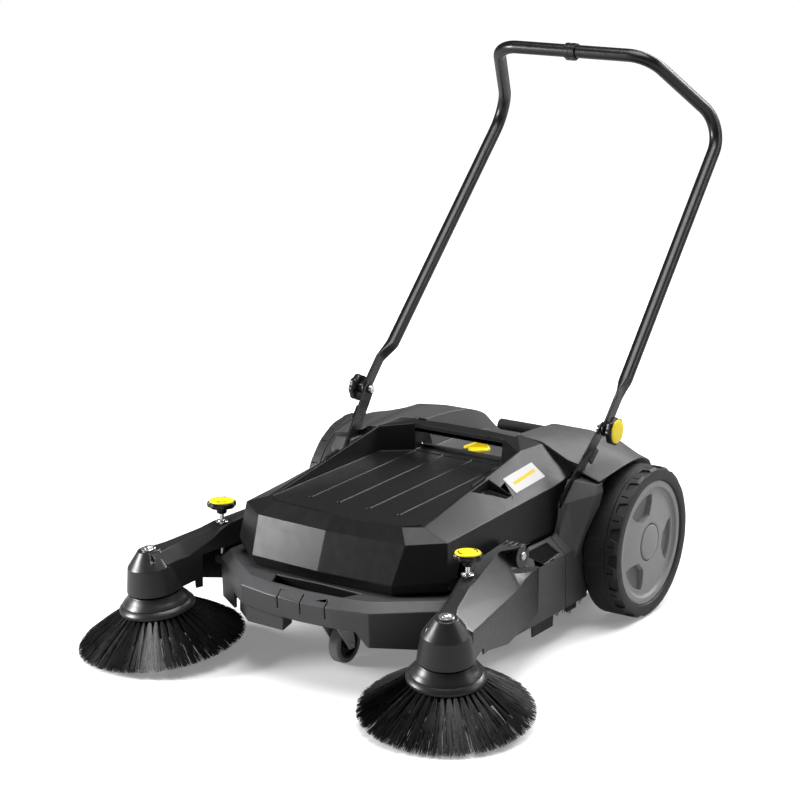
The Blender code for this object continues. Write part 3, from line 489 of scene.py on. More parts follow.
def grip_strip():
    """Rubber strip under the arch, ribbed across."""
    low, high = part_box("grip_strip")
    low, high = low - AXLE, high - AXLE
    ribs, valley = 44, high.z - 0.0011
    step = (high.x - low.x) / ribs
    outline = []
    for i in range(ribs):
        x = low.x + i * step
        outline += [
            (x, high.z), (x + step * 0.55, high.z), (x + step * 0.6, valley), (x + step * 0.95, valley),
        ]
    outline += [(high.x, high.z), (high.x, low.z), (low.x, low.z)]
    add("ribbed_grip", prism(outline, low.y, high.y, "Y"), "rubber", "container", ["grip_strip"])


def label():
    add("label_film", cad("label_plate"), "label", "container", ["label_plate"], bevel=0.0004)


# ---- frame


def base_frame():
    """The frame with three seams in its bumper, and a black liner in the bumper's grip that is painted shade.
    """
    seams = [box((x - 0.0008, -0.700, 0.133), (x + 0.0008, -0.6575, 0.1665)) for x in (-0.047, 0.004, 0.055)]
    body = carve(cad("base_frame"), seams)
    add("frame_shell", body, "frame", "chassis", ["base_frame"], bevel=0.0018, segments=3, corner=20)
    grip = [(0, -0.650), (0.076, -0.645), (0.092, -0.610), (0, -0.606)]
    grip += [(-x, y) for x, y in reversed(grip[1:-1])]
    middle = 0.628  # how far the grip's middle lies in front of the axle
    outer = prism([(x * 0.994, (y + middle) * 0.97 - middle) for x, y in grip], 0.1284, 0.1685, "Z")
    inner = prism([(x * 0.982, (y + middle) * 0.88 - middle) for x, y in grip], 0.1300, 0.1800, "Z")
    # A black band round the grip's walls: painted shade in the recess.
    add("grip_liner", carve(outer, [inner]), "dark", "chassis")


HOOD_TOP = (  # lines (x, y, z) from front to rear, from the middle of the hood outwards
    [(0.000, -0.1075, 0.290), (0.000, -0.030, 0.290), (0.000, 0.010, 0.290), (0.000, 0.050, 0.288),
     (0.000, 0.120, 0.276), (0.000, 0.168, 0.250), (0.000, 0.1705, 0.195)],
    [(0.088, -0.1075, 0.290), (0.088, -0.030, 0.290), (0.086, 0.010, 0.290), (0.084, 0.050, 0.288),
     (0.086, 0.120, 0.276), (0.090, 0.167, 0.250), (0.094, 0.1705, 0.195)],
    [(0.104, -0.1075, 0.3440), (0.104, -0.030, 0.340), (0.102, 0.010, 0.336), (0.100, 0.050, 0.330),
     (0.104, 0.115, 0.304), (0.112, 0.157, 0.262), (0.118, 0.1700, 0.195)],
    [(0.158, -0.1075, 0.339), (0.158, -0.030, 0.338), (0.158, 0.010, 0.335), (0.158, 0.050, 0.329),
     (0.158, 0.115, 0.304), (0.158, 0.156, 0.262), (0.158, 0.1690, 0.195)],
    [(0.215, -0.1085, 0.312), (0.215, -0.030, 0.326), (0.215, 0.010, 0.326), (0.215, 0.050, 0.323),
     (0.215, 0.110, 0.296), (0.215, 0.150, 0.258), (0.215, 0.1690, 0.195)],
    [(0.262, -0.1300, 0.299), (0.264, -0.030, 0.312), (0.264, 0.018, 0.309), (0.262, 0.062, 0.2985),
     (0.262, 0.110, 0.272), (0.262, 0.150, 0.235), (0.262, 0.1680, 0.195)],
    [(0.300, -0.1370, 0.292), (0.304, -0.045, 0.303), (0.300, 0.020, 0.3005), (0.291, 0.073, 0.2840),
     (0.280, 0.108, 0.262), (0.276, 0.135, 0.232), (0.272, 0.152, 0.195)],
)


def spline(points, count):
    """As many points along a smooth line through the given ones."""
    points = [Vector(p) for p in points]
    ends = [2 * points[0] - points[1], *points, 2 * points[-1] - points[-2]]
    made = []
    for i in range(count):
        place = i * (len(points) - 1) / (count - 1)
        k = min(int(place), len(points) - 2)
        t = place - k
        a, b, c, d = ends[k : k + 4]
        bend, twist = 2 * a - 5 * b + 4 * c - d, 3 * b - a - 3 * c + d
        made.append(0.5 * (2 * b + (c - a) * t + bend * t * t + twist * t**3))
    return made


def hood_strip(grow):
    """The slot that the handle's bracket stands in, as wide and thick as the bracket and a margin."""
    foot, head = Vector((-0.1790, 0.2570)), Vector((CLAMP.y, CLAMP.z))
    half, width = 0.0020 + grow, 0.0140 + grow
    run = (head - foot).normalized()
    side = Vector((-run.y, run.x)) * width
    outline = [tuple(foot + side), tuple(foot - side), tuple(head - side), tuple(head + side)]
    mesh = prism(outline, 0.2645 - half, 0.2645 + half, "X")
    lean = Matrix.Identity(4)
    lean[0][2] = 0.150
    mesh.transform(Matrix.Translation((-0.150 * CLAMP.z, 0, 0)) @ lean)
    return mesh


def hood():
    """Upper cover: a smooth bent sheet with a deck between two humps."""
    half = [spline(line, 49) for line in HOOD_TOP]
    lines = [[(-p.x, p.y, p.z) for p in line] for line in reversed(half[1:])]
    lines += [[tuple(p) for p in line] for line in half]
    bm = bmesh.new()
    rows = [[bm.verts.new(point) for point in line] for line in lines]
    for left, right in zip(rows, rows[1:]):
        for i in range(len(left) - 1):
            bm.faces.new((left[i], right[i], right[i + 1], left[i + 1]))
    bmesh.ops.recalc_face_normals(bm, faces=bm.faces)
    if bm.faces[0].normal.z < 0:
        bmesh.ops.reverse_faces(bm, faces=bm.faces)
    top = list(bm.verts)
    bmesh.ops.extrude_face_region(bm, geom=list(bm.faces))
    bm.normal_update()
    sunk = [(v, v.co - v.normal * 0.0030) for v in top]
    for v, place in sunk:
        v.co = place
    sheet = mesh_from(bm)
    front = box((-0.2425, -0.150, 0.250), (0.2425, -0.1078, 0.400))
    body = carve(sheet, [front, hood_strip(0.0008), mirrored(hood_strip(0.0008))])
    add("hood_shell", body, "frame", "chassis", ["rear_hood"], bevel=0.0010, corner=35, sharp=24)


def pipe(route, radius, sides=12):
    """A round bar along a route."""
    route = [Vector(p) for p in route]
    rings = []
    for i, point in enumerate(route):
        run = (route[min(i + 1, len(route) - 1)] - route[max(i - 1, 0)]).normalized()
        across = run.cross(Vector((0, 0, 1)))
        across = across.normalized() if across.length > 0.05 else Vector((1, 0, 0))
        up = across.cross(run)
        turns = [2 * pi * k / sides for k in range(sides)]
        rings.append([tuple(point + radius * (cos(t) * across + sin(t) * up)) for t in turns])
    return loft(rings)


def hood_lips():
    """Raised edge of the hood along its seam with the container."""
    line = [(0.1040, 0.3445), (0.1560, 0.3375), (0.1600, 0.3355), (0.2200, 0.3100), (0.2420, 0.3015)]
    both("hood_lip", pipe([(x, -0.1050, z) for x, z in line], 0.0022), "frame", "chassis")


def side_covers():
    """The side covers with a seam down each, and a recess behind the arm's hinge with a black plate in it as
    painted shade.
    """
    seam = []
    for x, y, z, rise in (
        (0.2685, -0.1980, 0.050, 0), (0.2685, -0.2056, 0.1645, 0.0010), (0.2500, -0.2290, 0.2010, 0.0020),
    ):
        corners = ((0, 0, 0), (0.0035, 0, rise), (0.0035, 0.0012, rise), (0, 0.0012, 0))
        seam.append([(x + right, y + back, z + up) for right, back, up in corners])
    mouth = [
        (0.2535, -0.2470, 0.1970), (0.2662, -0.2215, 0.1722), (0.2690, -0.2815, 0.1668),
        (0.2540, -0.3320, 0.1962),
    ]
    recess_out = [(x + 0.0060, y, z + 0.0030) for x, y, z in mouth]
    recess_in = [(x - 0.0028, y, z - 0.0014) for x, y, z in mouth]
    # A black plate at the recess's floor, a little wider than it: painted shade.
    middle = sum((Vector(p) for p in recess_in), Vector()) / 4
    wide = [middle + (Vector(p) - middle) * 1.10 for p in recess_in]
    plate_low = [tuple(p + Vector((-0.0012, 0, -0.0006))) for p in wide]
    plate_top = [tuple(p + Vector((0.0003, 0, 0.0002))) for p in wide]
    shape = carve(cad("right_side_cover"), [loft(seam), loft([recess_in, recess_out])])
    both(
        "cover_shell", shape, "frame", "chassis", ["%_side_cover"], bevel=0.0015, corner=16, sharp=16,
        segments=3,
    )
    # The black plate in each recess: painted shade.
    both("cover_recess", loft([plate_low, plate_top]), "dark", "chassis")


# ---- wheels


LUGS = 18
RIDGE = 0.0095  # how far out from the tyre's middle plane the tread's ridge runs


def tread_cuts(half):
    """Gaps between a tyre's lugs, a thin slot in each lug, and the slots along the tread's inner edge."""
    cuts = []
    deep, clear = WHEEL_R - 0.0042, WHEEL_R + 0.006
    wide, slim = radians(6.2), radians(3.6)
    gap = ((-slim, RIDGE + 0.0075), (slim, RIDGE + 0.0075), (wide, half + 0.004), (-wide, half + 0.004))
    for i in range(LUGS):
        lug_gap = loft([[(radius * cos(t), radius * sin(t), z) for t, z in gap] for radius in (deep, clear)])
        outer_slot = box((WHEEL_R - 0.0040, -0.0010, RIDGE + 0.0055), (clear, 0.0010, half - 0.0075))
        inner_slot = box((WHEEL_R - 0.0040, -0.0010, -half - 0.004), (clear, 0.0010, 0.0085 - half))
        for shape, share in ((lug_gap, 0), (outer_slot, 0.5), (inner_slot, 0.25)):
            shape.transform(Matrix.Rotation(2 * pi * (i + share) / LUGS, 4, "Z"))
            cuts.append(shape)
    return joined(cuts)


def rim_pocket(angle, half):
    """A tapered pocket in the rim's face, about one direction."""

    def at(radius, degrees):
        return radius * cos(radians(degrees)), radius * sin(radians(degrees))

    walls = []
    for inset, z in ((0.0035, half - 0.0160), (0.0, half + 0.004)):
        spread = 27 - inset * 500
        shoulder, waist = 0.0800 - inset * 0.2, 0.0520 + inset
        outline = arc((0, 0), 0.0965 - inset, angle - spread, angle + spread, 9)
        outline += [at(shoulder, angle + spread), at(waist, angle + 15)]
        outline += [at(waist, angle - 15), at(shoulder, angle - spread)]
        walls.append([(u, v, z) for u, v in outline])
    return loft(walls)


def wheel(side, sign):
    """A tyre, its rim and its hub's cap. Profiles are (radius, distance out from the tyre's middle plane)."""
    low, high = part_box(side + "_tyre")
    half, middle = (high.x - low.x) / 2, (high.x + low.x) / 2
    body = side + "_wheel"

    def seated(mesh):
        """The mesh turned to face outwards, at the wheel's centre."""
        turn = ALONG_X if sign > 0 else Matrix.Diagonal((-1, 1, 1, 1)) @ ALONG_X
        mesh = moved(mesh, Vector((middle, 0, WHEEL_R)), turn)
        if sign < 0:
            mesh.flip_normals()
        return mesh

    tread = [
        (0.1205, half - 0.004), (0.1225, half - 0.0012), (0.1270, half), (0.1330, half),
        (0.1390, half - 0.0003), (0.1425, half - 0.0015), (WHEEL_R - 0.0002, half - 0.0065),
        (WHEEL_R, RIDGE + 0.0016), (WHEEL_R - 0.0016, RIDGE + 0.0010), (WHEEL_R - 0.0016, RIDGE),
        (WHEEL_R, RIDGE - 0.0006), (WHEEL_R, 0.0065 - half), (0.1445, 0.0025 - half), (0.1400, -half),
        (0.1230, -half), (0.1205, 0.0015 - half),
    ]
    tyre = seated(carve(turned(tread, 144), [tread_cuts(half)]))
    add(side + "_tyre_rubber", tyre, "tyre", body, [side + "_tyre"], bevel=0.0006, corner=35, sharp=30)

    rim_low, rim_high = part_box(side + "_rim")
    inner_face = rim_low.x - middle if sign > 0 else middle - rim_high.x
    profile = [
        (0.0106, half - 0.014), (0.0355, half - 0.014), (0.0362, half - 0.0075), (0.0385, half - 0.0062),
        (0.0600, half - 0.0068), (0.0960, half - 0.0105), (0.1015, half - 0.0110), (0.1050, half - 0.0095),
        (0.1075, half - 0.0050), (0.1090, half - 0.0042), (0.1190, half - 0.0042), (0.1200, half - 0.0050),
        (0.1200, 0.004 - half), (0.112, 0.004 - half), (0.106, half - 0.021), (0.060, half - 0.0178),
        (0.026, half - 0.024), (0.022, inner_face), (0.0106, inner_face),
    ]
    rim = seated(carve(turned(profile, 96), [rim_pocket(angle, half) for angle in (110, -10, 230)]))
    made = add(side + "_rim_disc", rim, "rim", body, [side + "_rim"], bevel=0.0008, corner=28, sharp=24)
    # The pockets' flat floors take the darker grey: painted shade.
    made.data.materials.append(FINISHES["rim_pocket"][1])
    for face in made.data.polygons:
        outwards = (face.center.x - middle) * sign
        radius = Vector((face.center.y, face.center.z - WHEEL_R)).length
        flat = abs(face.normal.x) > 0.9 and face.normal.x * sign > 0
        if flat and 0.045 < radius < 0.098 and outwards < half - 0.0145:
            face.material_index = 1
    cap = [
        (0, half - 0.0042), (0.0250, half - 0.0045), (0.0320, half - 0.0052), (0.0343, half - 0.0066),
        (0.0345, half - 0.0135), (0, half - 0.0135),
    ]
    add(side + "_hub_disc", seated(turned(cap, 64)), "rim", body, [side + "_hub_cap"], sharp=25)


# ---- side brushes


def strand(bm, root, tip, width, lean):
    """One bristle: a slim three-sided rod that bows a little and narrows to its tip."""
    run = (tip - root).normalized()
    across = run.cross(Vector((0.3, 0.2, 1))).normalized()
    up = across.cross(run)
    rings = []
    for share, size in ((0.0, 1.0), (0.5, 0.95), (1.0, 0.55)):
        spot = root.lerp(tip, share) + lean * (share * (1 - share) * 4)
        turns = [2 * pi * k / 3 for k in range(3)]
        rings.append([bm.verts.new(spot + width * size * (cos(t) * across + sin(t) * up)) for t in turns])
    for lower, upper in zip(rings, rings[1:]):
        for k in range(3):
            j = (k + 1) % 3
            bm.faces.new((lower[k], lower[j], upper[j], upper[k]))
    bm.faces.new(rings[0])
    bm.faces.new(rings[-1])


def side_bristles():
    """Tufts of straight black bristles that fan out of the hub in two rows."""
    bm = bmesh.new()
    longest = 0.1531
    for tufts, root_r, tip_r, count, start in ((40, 0.0625, 0.1500, 62, 0.0), (36, 0.0540, 0.1400, 44, 0.5)):
        for i in range(tufts):
            angle = 2 * pi * (i + start) / tufts
            drift = rng.uniform(-0.02, 0.02)
            for _ in range(count):
                swing, out = rng.gauss(0, 0.026), rng.gauss(0, 0.0036)
                a = angle + rng.uniform(-0.030, 0.030)
                b = angle + drift + swing * 1.9
                r = min(longest, tip_r + out + rng.uniform(-0.004, 0.003))
                deep = 0.1790 - abs(rng.gauss(0, 0.0022)) - 0.20 * max(0, r - 0.1480)
                root_radius = root_r + rng.uniform(-0.0022, 0.0022)
                root = Vector((root_radius * cos(a), root_radius * sin(a), -0.1150))
                tip = Vector((r * cos(b), r * sin(b), -deep))
                outward = Vector((cos(b), sin(b), 0.25)) * rng.uniform(-0.0006, 0.0022)
                strand(bm, root, tip, rng.uniform(0.00055, 0.0008), outward)
    mesh = bpy.data.meshes.new("strands")
    bm.to_mesh(mesh)
    bm.free()
    mesh = moved(mesh, BRUSH_TOP, BRUSH_TURN)
    both("brush_strands", mesh, "bristle", "%_side_brush", ["%_side_bristles"], sharp=80)
    # A dark cone under the hub, inside the tufts: painted shade that fills the gaps between bristles.
    core = [
        (0, -0.1140), (0.0560, -0.1150), (0.0610, -0.1180), (0.0900, -0.1420), (0.0840, -0.1450),
        (0.0400, -0.1220), (0, -0.1200),
    ]
    both("brush_core", moved(turned(core, 48), BRUSH_TOP, BRUSH_TURN), "dark", "%_side_brush", sharp=40)


def brush_hub():
    """The side brush's stepped flange, and the domed bolt in its top with a hexagonal socket."""
    flange = [
        (0, -0.0835), (0.0478, -0.0835), (0.0488, -0.0850), (0.0500, -0.0880), (0.0560, -0.0953),
        (0.0618, -0.1012), (0.0622, -0.1022), (0.0614, -0.1028), (0.0622, -0.1032), (0.0684, -0.1092),
        (0.0690, -0.1104), (0.0688, -0.1150), (0.0672, -0.1160), (0, -0.1160),
    ]
    flange = moved(turned(flange, 96), BRUSH_TOP, BRUSH_TURN)
    # The darker copy of the frame plastic: painted shade.
    both("brush_flange", flange, "arm", "%_side_brush", ["%_brush_hub"], sharp=24)
    head = [
        (0, 0.0033), (0.0035, 0.0034), (0.0058, 0.0027), (0.0076, 0.0010), (0.0080, -0.0002),
        (0.0081, -0.0006), (0.0128, -0.0006), (0.0135, -0.0012), (0.0135, -0.0025), (0.0128, -0.0030),
        (0.0065, -0.0030), (0.0065, -0.0830), (0, -0.0830),
    ]
    socket = prism(
        [(0.0030 * cos(pi * k / 3), 0.0030 * sin(pi * k / 3)) for k in range(6)], 0.0008, 0.0060, "Z"
    )
    bolt = moved(carve(turned(head, 48), [socket]), BRUSH_TOP, BRUSH_TURN)
    both("brush_bolt_head", bolt, "bright", "%_side_brush", ["%_brush_bolt"], sharp=28)


def arms():
    """The arm with three slots over its hinge, a hollow on its inner side, and a notch under its hinge."""
    notch = [(-0.452, 0.240), (-0.4105, 0.1890), (-0.322, 0.1700), (-0.322, 0.260), (-0.440, 0.260)]
    notch = prism(notch, 0.2786, 0.340, "X")
    slots = []
    for x in (0.2478, 0.2585, 0.2692):
        slots.append(box((x - 0.0021, HINGE.y - 0.018, 0.2275), (x + 0.0021, HINGE.y + 0.013, 0.240)))
    inner = [
        [(0.240, -0.520, 0.240), (0.2520, -0.520, 0.2240), (0.240, -0.520, 0.2180)],
        [(0.240, -0.560, 0.240), (0.2660, -0.560, 0.2160), (0.240, -0.560, 0.1960)],
        [(0.240, -0.640, 0.240), (0.2900, -0.640, 0.2040), (0.240, -0.640, 0.1450)],
        [(0.240, -0.720, 0.240), (0.3050, -0.720, 0.1930), (0.240, -0.720, 0.1300)],
    ]
    shape = carve(cad("right_arm"), [joined(slots), loft(inner), notch])
    # The darker copy of the frame plastic: painted shade.
    both("arm_shell", shape, "arm", "%_arm", ["%_arm"], bevel=0.0014, corner=16, sharp=16, segments=3)


def arm_screws():
    """The arm's plated screw, with its collar and washer."""
    profile = [
        (0, 0.2480), (0.0042, 0.2480), (0.0042, 0.2245), (0.0075, 0.2238), (0.0080, 0.2225), (0.0108, 0.2224),
        (0.0115, 0.2217), (0.0115, 0.2208), (0.0108, 0.2205), (0.0042, 0.2205), (0.0042, 0.1585), (0, 0.1585),
    ]
    both(
        "height_screw", moved(turned(profile, 32), SCREW), "bright", "%_arm_screw", ["%_arm_screw"],
        sharp=30,
    )


def lobes(radius, depth, count, points_each):
    """A round outline with waves along it."""
    total = count * points_each
    turn = [2 * pi * i / total for i in range(total)]
    return [(
        (radius + depth * cos(count * t)) * cos(t), (radius + depth * cos(count * t)) * sin(t),
    ) for t in turn]


def knob_mesh(low, high, foot, sunk):
    """A lobed hand knob along Z: its rounded rim between two heights, and the boss below it."""
    outline = lobes(0.0258, 0.0013, 8, 12)

    def ring(share, z):
        return [(u * share, v * share, z) for u, v in outline]

    rim = loft([
        ring(0.86, low), ring(0.955, low + 0.0012), ring(1.0, low + 0.0035), ring(1.0, high - 0.0030),
        ring(0.97, high - 0.0010), ring(0.93, high),
    ])
    boss = [
        (0, low + 0.002), (0.0112, low + 0.002), (0.0104, low - 0.0010), (0.0095, foot + 0.0015),
        (0.0085, foot), (0, foot),
    ]
    well = turned([(0, high + 0.01), (0.0232, high + 0.01), (0.0232, high - sunk), (0, high - sunk)], 64)
    hole = turned([(0, low + 0.0004), (0.0046, low + 0.0004), (0.0046, foot - 0.01), (0, foot - 0.01)], 24)
    return carve(rim, [well, hole], [turned(boss, 40)])


def cap_mesh(low, high):
    """A knob's slightly domed cap."""
    profile = [
        (0, high), (0.0120, high - 0.0001), (0.0195, high - 0.0005), (0.0222, high - 0.0013),
        (0.0229, high - 0.0026), (0.0229, low), (0, low),
    ]
    return turned(profile, 72)


def arrow_mesh(z):
    """Two printed arrows that chase each other round a knob's cap."""
    radius, half_line, half_head, sweep = 0.0165, 0.0011, 0.0031, 50
    low, high = z - 0.0004, z + 0.00012
    parts = []
    for start in (20, 200):
        stop = start + sweep
        outer = arc((0, 0), radius + half_line, start, stop, 12)
        inner = arc((0, 0), radius - half_line, stop, start, 12)
        parts.append(prism(outer + inner, low, high, "Z"))
        t = radians(stop)
        out, ahead = Vector((cos(t), sin(t))), Vector((-sin(t), cos(t)))
        end = Vector((radius * cos(t), radius * sin(t)))
        head = [
            end + out * half_head - ahead * 0.0004, end + ahead * 0.0058,
            end - out * half_head - ahead * 0.0004,
        ]
        parts.append(prism([tuple(p) for p in head], low, high, "Z"))
    return joined(parts)


def knobs():
    """The arms' height knobs and the handle's clamp knobs."""
    sunk = 0.0018
    knob = moved(knob_mesh(0.2485, 0.2600, 0.2370, sunk), SCREW)
    both("arm_knob_body", knob, "knob", "%_arm_knob", ["%_arm_knob"], sharp=28)
    cap = moved(cap_mesh(0.2586, 0.2630), SCREW)
    both("arm_knob_disc", cap, "yellow", "%_arm_knob", ["%_arm_knob_cap"], sharp=28)
    both("arm_knob_arrows", moved(arrow_mesh(0.26285), SCREW), "print", "%_arm_knob")
    clamp = moved(knob_mesh(0.2840, 0.2975, 0.2752, sunk), CLAMP, ALONG_X)
    both("clamp_knob_body", clamp, "knob", "%_clamp", ["%_clamp_knob"], sharp=28)
    cap = moved(cap_mesh(0.2961, 0.3002), CLAMP, ALONG_X)
    both("clamp_knob_disc", cap, "yellow", "%_clamp", ["%_clamp_cap"], sharp=28)


# ---- handle


def rounded_route(corners, radius, steps):
    """Points along straight runs joined by arcs at every inner corner."""
    points = [Vector(corners[0])]
    for before, corner, after in zip(corners, corners[1:], corners[2:]):
        corner = Vector(corner)
        back, on = (Vector(before) - corner).normalized(), (Vector(after) - corner).normalized()
        half = back.angle(on) / 2
        start = corner + back * radius / tan(half)
        centre = corner + (back + on).normalized() * radius / sin(half)
        first, last = start - centre, corner + on * radius / tan(half) - centre
        turn, axis = first.angle(last), first.cross(last).normalized()
        points += [centre + Matrix.Rotation(turn * i / steps, 3, axis) @ first for i in range(steps + 1)]
    return points + [Vector(corners[-1])]


def tube_section(share, sides=40):
    """The tube's section, from round (0) to pressed flat (1), as (across, out) offsets."""
    radius, half_flat, dent_depth = 0.0130, 0.0028, 0.0035
    power = 1 - 0.62 * share
    made = []
    for k in range(sides):
        t = 2 * pi * k / sides
        c, s = cos(t), sin(t)
        across = (abs(c) ** power) * (1 if c >= 0 else -1) * (radius + 0.0004 * share)
        out = (abs(s) ** power) * (1 if s >= 0 else -1) * (radius * (1 - share) + half_flat * share)
        dent = share * (1 - share) * 4 * dent_depth * max(0.0, s) ** 3
        made.append((across, out - dent))
    return made


HANDLE_TOP = Vector((0, 0.2515, 1.036))


def handle_sections():
    """The right handle tube's sections from foot to middle: (point, direction, flatness, width)."""
    across_top = HANDLE_TOP.y, HANDLE_TOP.z
    corners = [
        (0.2675, -0.020, 0.4100), (0.2530, 0.4274, 0.8900), (0.1700, *across_top), (0.0006, *across_top),
    ]
    route = rounded_route(corners, 0.062, 20)
    flat_x = 0.2719
    run = (route[1] - route[0]).normalized()
    foot, knee = Vector((flat_x, CLAMP.y, CLAMP.z)), Vector((flat_x, -0.0190, 0.4270))
    foot_run = Vector((0, 0.462, 0.490)).normalized()
    sections = []
    for back in (0.0134, 0.0125, 0.0105, 0.0070, 0.0):
        width = max(0.05, (1 - (back / 0.0135) ** 2) ** 0.5)
        sections.append((foot - foot_run * back, foot_run, 1.0, width))
    for share in (0.25, 0.5, 0.75, 1.0):
        sections.append((foot.lerp(knee, share), foot_run, 1.0, 1.0))
    taper_end = route[0] + run * 0.055
    for i in range(1, 13):
        share = i / 12
        flat = 1 - (3 * share**2 - 2 * share**3)
        sections.append((knee.lerp(taper_end, share), run, flat, 1.0))
    for point, before, after in zip(route[1:-1], route, route[2:]):
        sections.append((point, (after - before).normalized(), 0.0, 1.0))
    sections.append((route[-1], Vector((-1, 0, 0)), 0.0, 1.0))
    return sections


def handle():
    """The handle: a bent tube pressed flat at its feet, and the sleeve that joins its halves."""
    sections = handle_sections()
    side = Vector((1, 0, 0)).cross(sections[0][1]).normalized()
    rings = []
    for point, ahead, flat, width in sections:
        side = (side - ahead * side.dot(ahead)).normalized()
        out = ahead.cross(side).normalized()
        if not rings and out.x < 0:
            side, out = -side, -out
        rings.append([tuple(point + side * a * width + out * b) for a, b in tube_section(flat)])
    both("handle_bar", loft(rings), "tube", "handle", ["%_handle_tube"], sharp=50)
    profile = [
        (0.0134, 0.012), (0.0157, 0.012), (0.0163, 0.0112), (0.0163, 0.0015), (0.0158, 0.0008),
        (0.0158, -0.0008), (0.0163, -0.0015), (0.0163, -0.0112), (0.0157, -0.012), (0.0134, -0.012),
    ]
    sleeve = moved(turned(profile, 48, ALONG_X), HANDLE_TOP)
    add("handle_sleeve", sleeve, "knob", "handle", ["handle_coupler"], sharp=35)
    lug = moved(box((-0.0105, -0.0050, -0.0182), (0.0105, 0.0050, -0.0145)), HANDLE_TOP)
    add("sleeve_lug", lug, "knob", "handle", bevel=0.0008)


def brackets():
    """The strips that carry the handle, with a small clip on each."""
    strip = cad("right_handle_bracket")
    both("bracket_strip", strip, "tube", "chassis", ["%_handle_bracket"], bevel=0.0008, sharp=30, corner=30)
    clip_low, clip_high = Vector((0.2655, -0.1180, 0.3330)), Vector((0.2665, -0.1085, 0.3430))
    run = (clip_high - clip_low).normalized()
    across = Vector((0, -run.z, run.y)).normalized()
    corners = ((-0.0162, 0), (-0.0162, 0.0052), (-0.0030, 0.0052), (-0.0030, 0.0))
    rings = []
    for share in (-0.6, 1.6):
        point = clip_low.lerp(clip_high, share)
        rings.append([tuple(point + across * a + Vector((b, 0, 0))) for a, b in corners])
    both("bracket_clip", loft(rings), "tube", "chassis", bevel=0.0008)


# ---- height knob, grips, seals, caster


def height_knob():
    """The roller's height knob, and the dark ring round its foot."""
    knob = cad("height_knob")
    add(
        "roller_height_knob", knob, "yellow", "height_knob", ["height_knob"], bevel=0.0007, sharp=30,
        corner=25,
    )
    ring = turned([(0.0236, 0.2903), (0.0236, 0.2912), (0.0262, 0.2912), (0.0270, 0.2903)], 56)
    add("height_knob_ring", moved(ring, Vector((0, -0.076, 0))), "dark", "chassis", sharp=30)


def simple(node, name, look, body, **more):
    """A piece that keeps its CAD shape."""
    add(name, cad(node), look, body, [node], **more)


def small_parts():
    simple("rear_grip_bar", "carry_bar", "rubber", "chassis", bevel=0.0012, corner=40, sharp=30)
    simple("caster_fork", "caster_fork_shell", "steel", "caster_swivel", bevel=0.0006, corner=25, sharp=25)
    simple("caster_plate", "caster_mount", "steel", "chassis", bevel=0.0006, corner=25, sharp=25)
    simple("caster_tyre", "caster_tread", "caster", "caster_wheel", bevel=0.0012, corner=30, sharp=25)
    simple("caster_core", "caster_hub", "knob", "caster_wheel", bevel=0.0005, corner=40, sharp=30)
    simple("brush_tunnel", "tunnel_shell", "frame", "chassis", bevel=0.0006, corner=40, sharp=30)
    simple("rear_seal", "rear_skirt", "rubber", "chassis", bevel=0.0006)
    simple("roller_shaft", "roller_core", "knob", "roller", bevel=0.0010, corner=40, sharp=30)
    both("skirt", cad("right_side_seal"), "rubber", "chassis", ["%_side_seal"], bevel=0.0005)
    both(
        "hinge_pin", cad("right_arm_pin"), "steel", "chassis", ["%_arm_pin"], bevel=0.0005, corner=35,
        sharp=35,
    )
    both(
        "clamp_screw", cad("right_clamp_bolt"), "bright", "chassis", ["%_clamp_bolt"], bevel=0.0004,
        corner=35, sharp=35,
    )
    both(
        "drive_pinion", cad("right_pinion"), "gear", "roller", ["%_pinion"], bevel=0.0002, corner=35,
        sharp=25,
    )
    simple("right_wheel_gear", "right_drive_gear", "gear", "right_wheel", bevel=0.0003, corner=35, sharp=25)
    simple("left_wheel_gear", "left_drive_gear", "gear", "left_gear", bevel=0.0003, corner=35, sharp=25)
    simple("right_axle", "right_axle_stub", "steel", "chassis", bevel=0.0005, corner=40, sharp=30)
    simple("left_axle", "left_axle_stub", "steel", "chassis", bevel=0.0005, corner=40, sharp=30)


def roller_bristles():
    """Straight rows of short tufts round the roller."""
    bm = bmesh.new()
    rows, tufts, half = 16, 44, 0.2190
    for row in range(rows):
        for i in range(tufts):
            x = -half + 2 * half * (i + 0.5) / tufts
            angle = 2 * pi * row / rows + pi / 2
            for _ in range(7):
                a = angle + rng.uniform(-0.05, 0.05)
                b = angle + rng.gauss(0, 0.035)
                b = min(angle + 0.072, max(angle - 0.072, b))
                r = 0.1237 - abs(rng.gauss(0, 0.0015))
                sideways = rng.gauss(0, 0.0022)
                end = min(0.2205, max(-0.2205, x + sideways))
                root = Vector((x + rng.uniform(-0.0016, 0.0016), 0.0455 * cos(a), 0.0455 * sin(a)))
                strand(
                    bm, root, Vector((end, r * cos(b), r * sin(b))), rng.uniform(0.0006, 0.0009),
                    Vector((0, 0, 0)),
                )
    mesh = bpy.data.meshes.new("strands")
    bm.to_mesh(mesh)
    bm.free()
    add("roller_strands", moved(mesh, ROLLER), "bristle", "roller", ["roller_bristles"], sharp=80)


# ---- studio


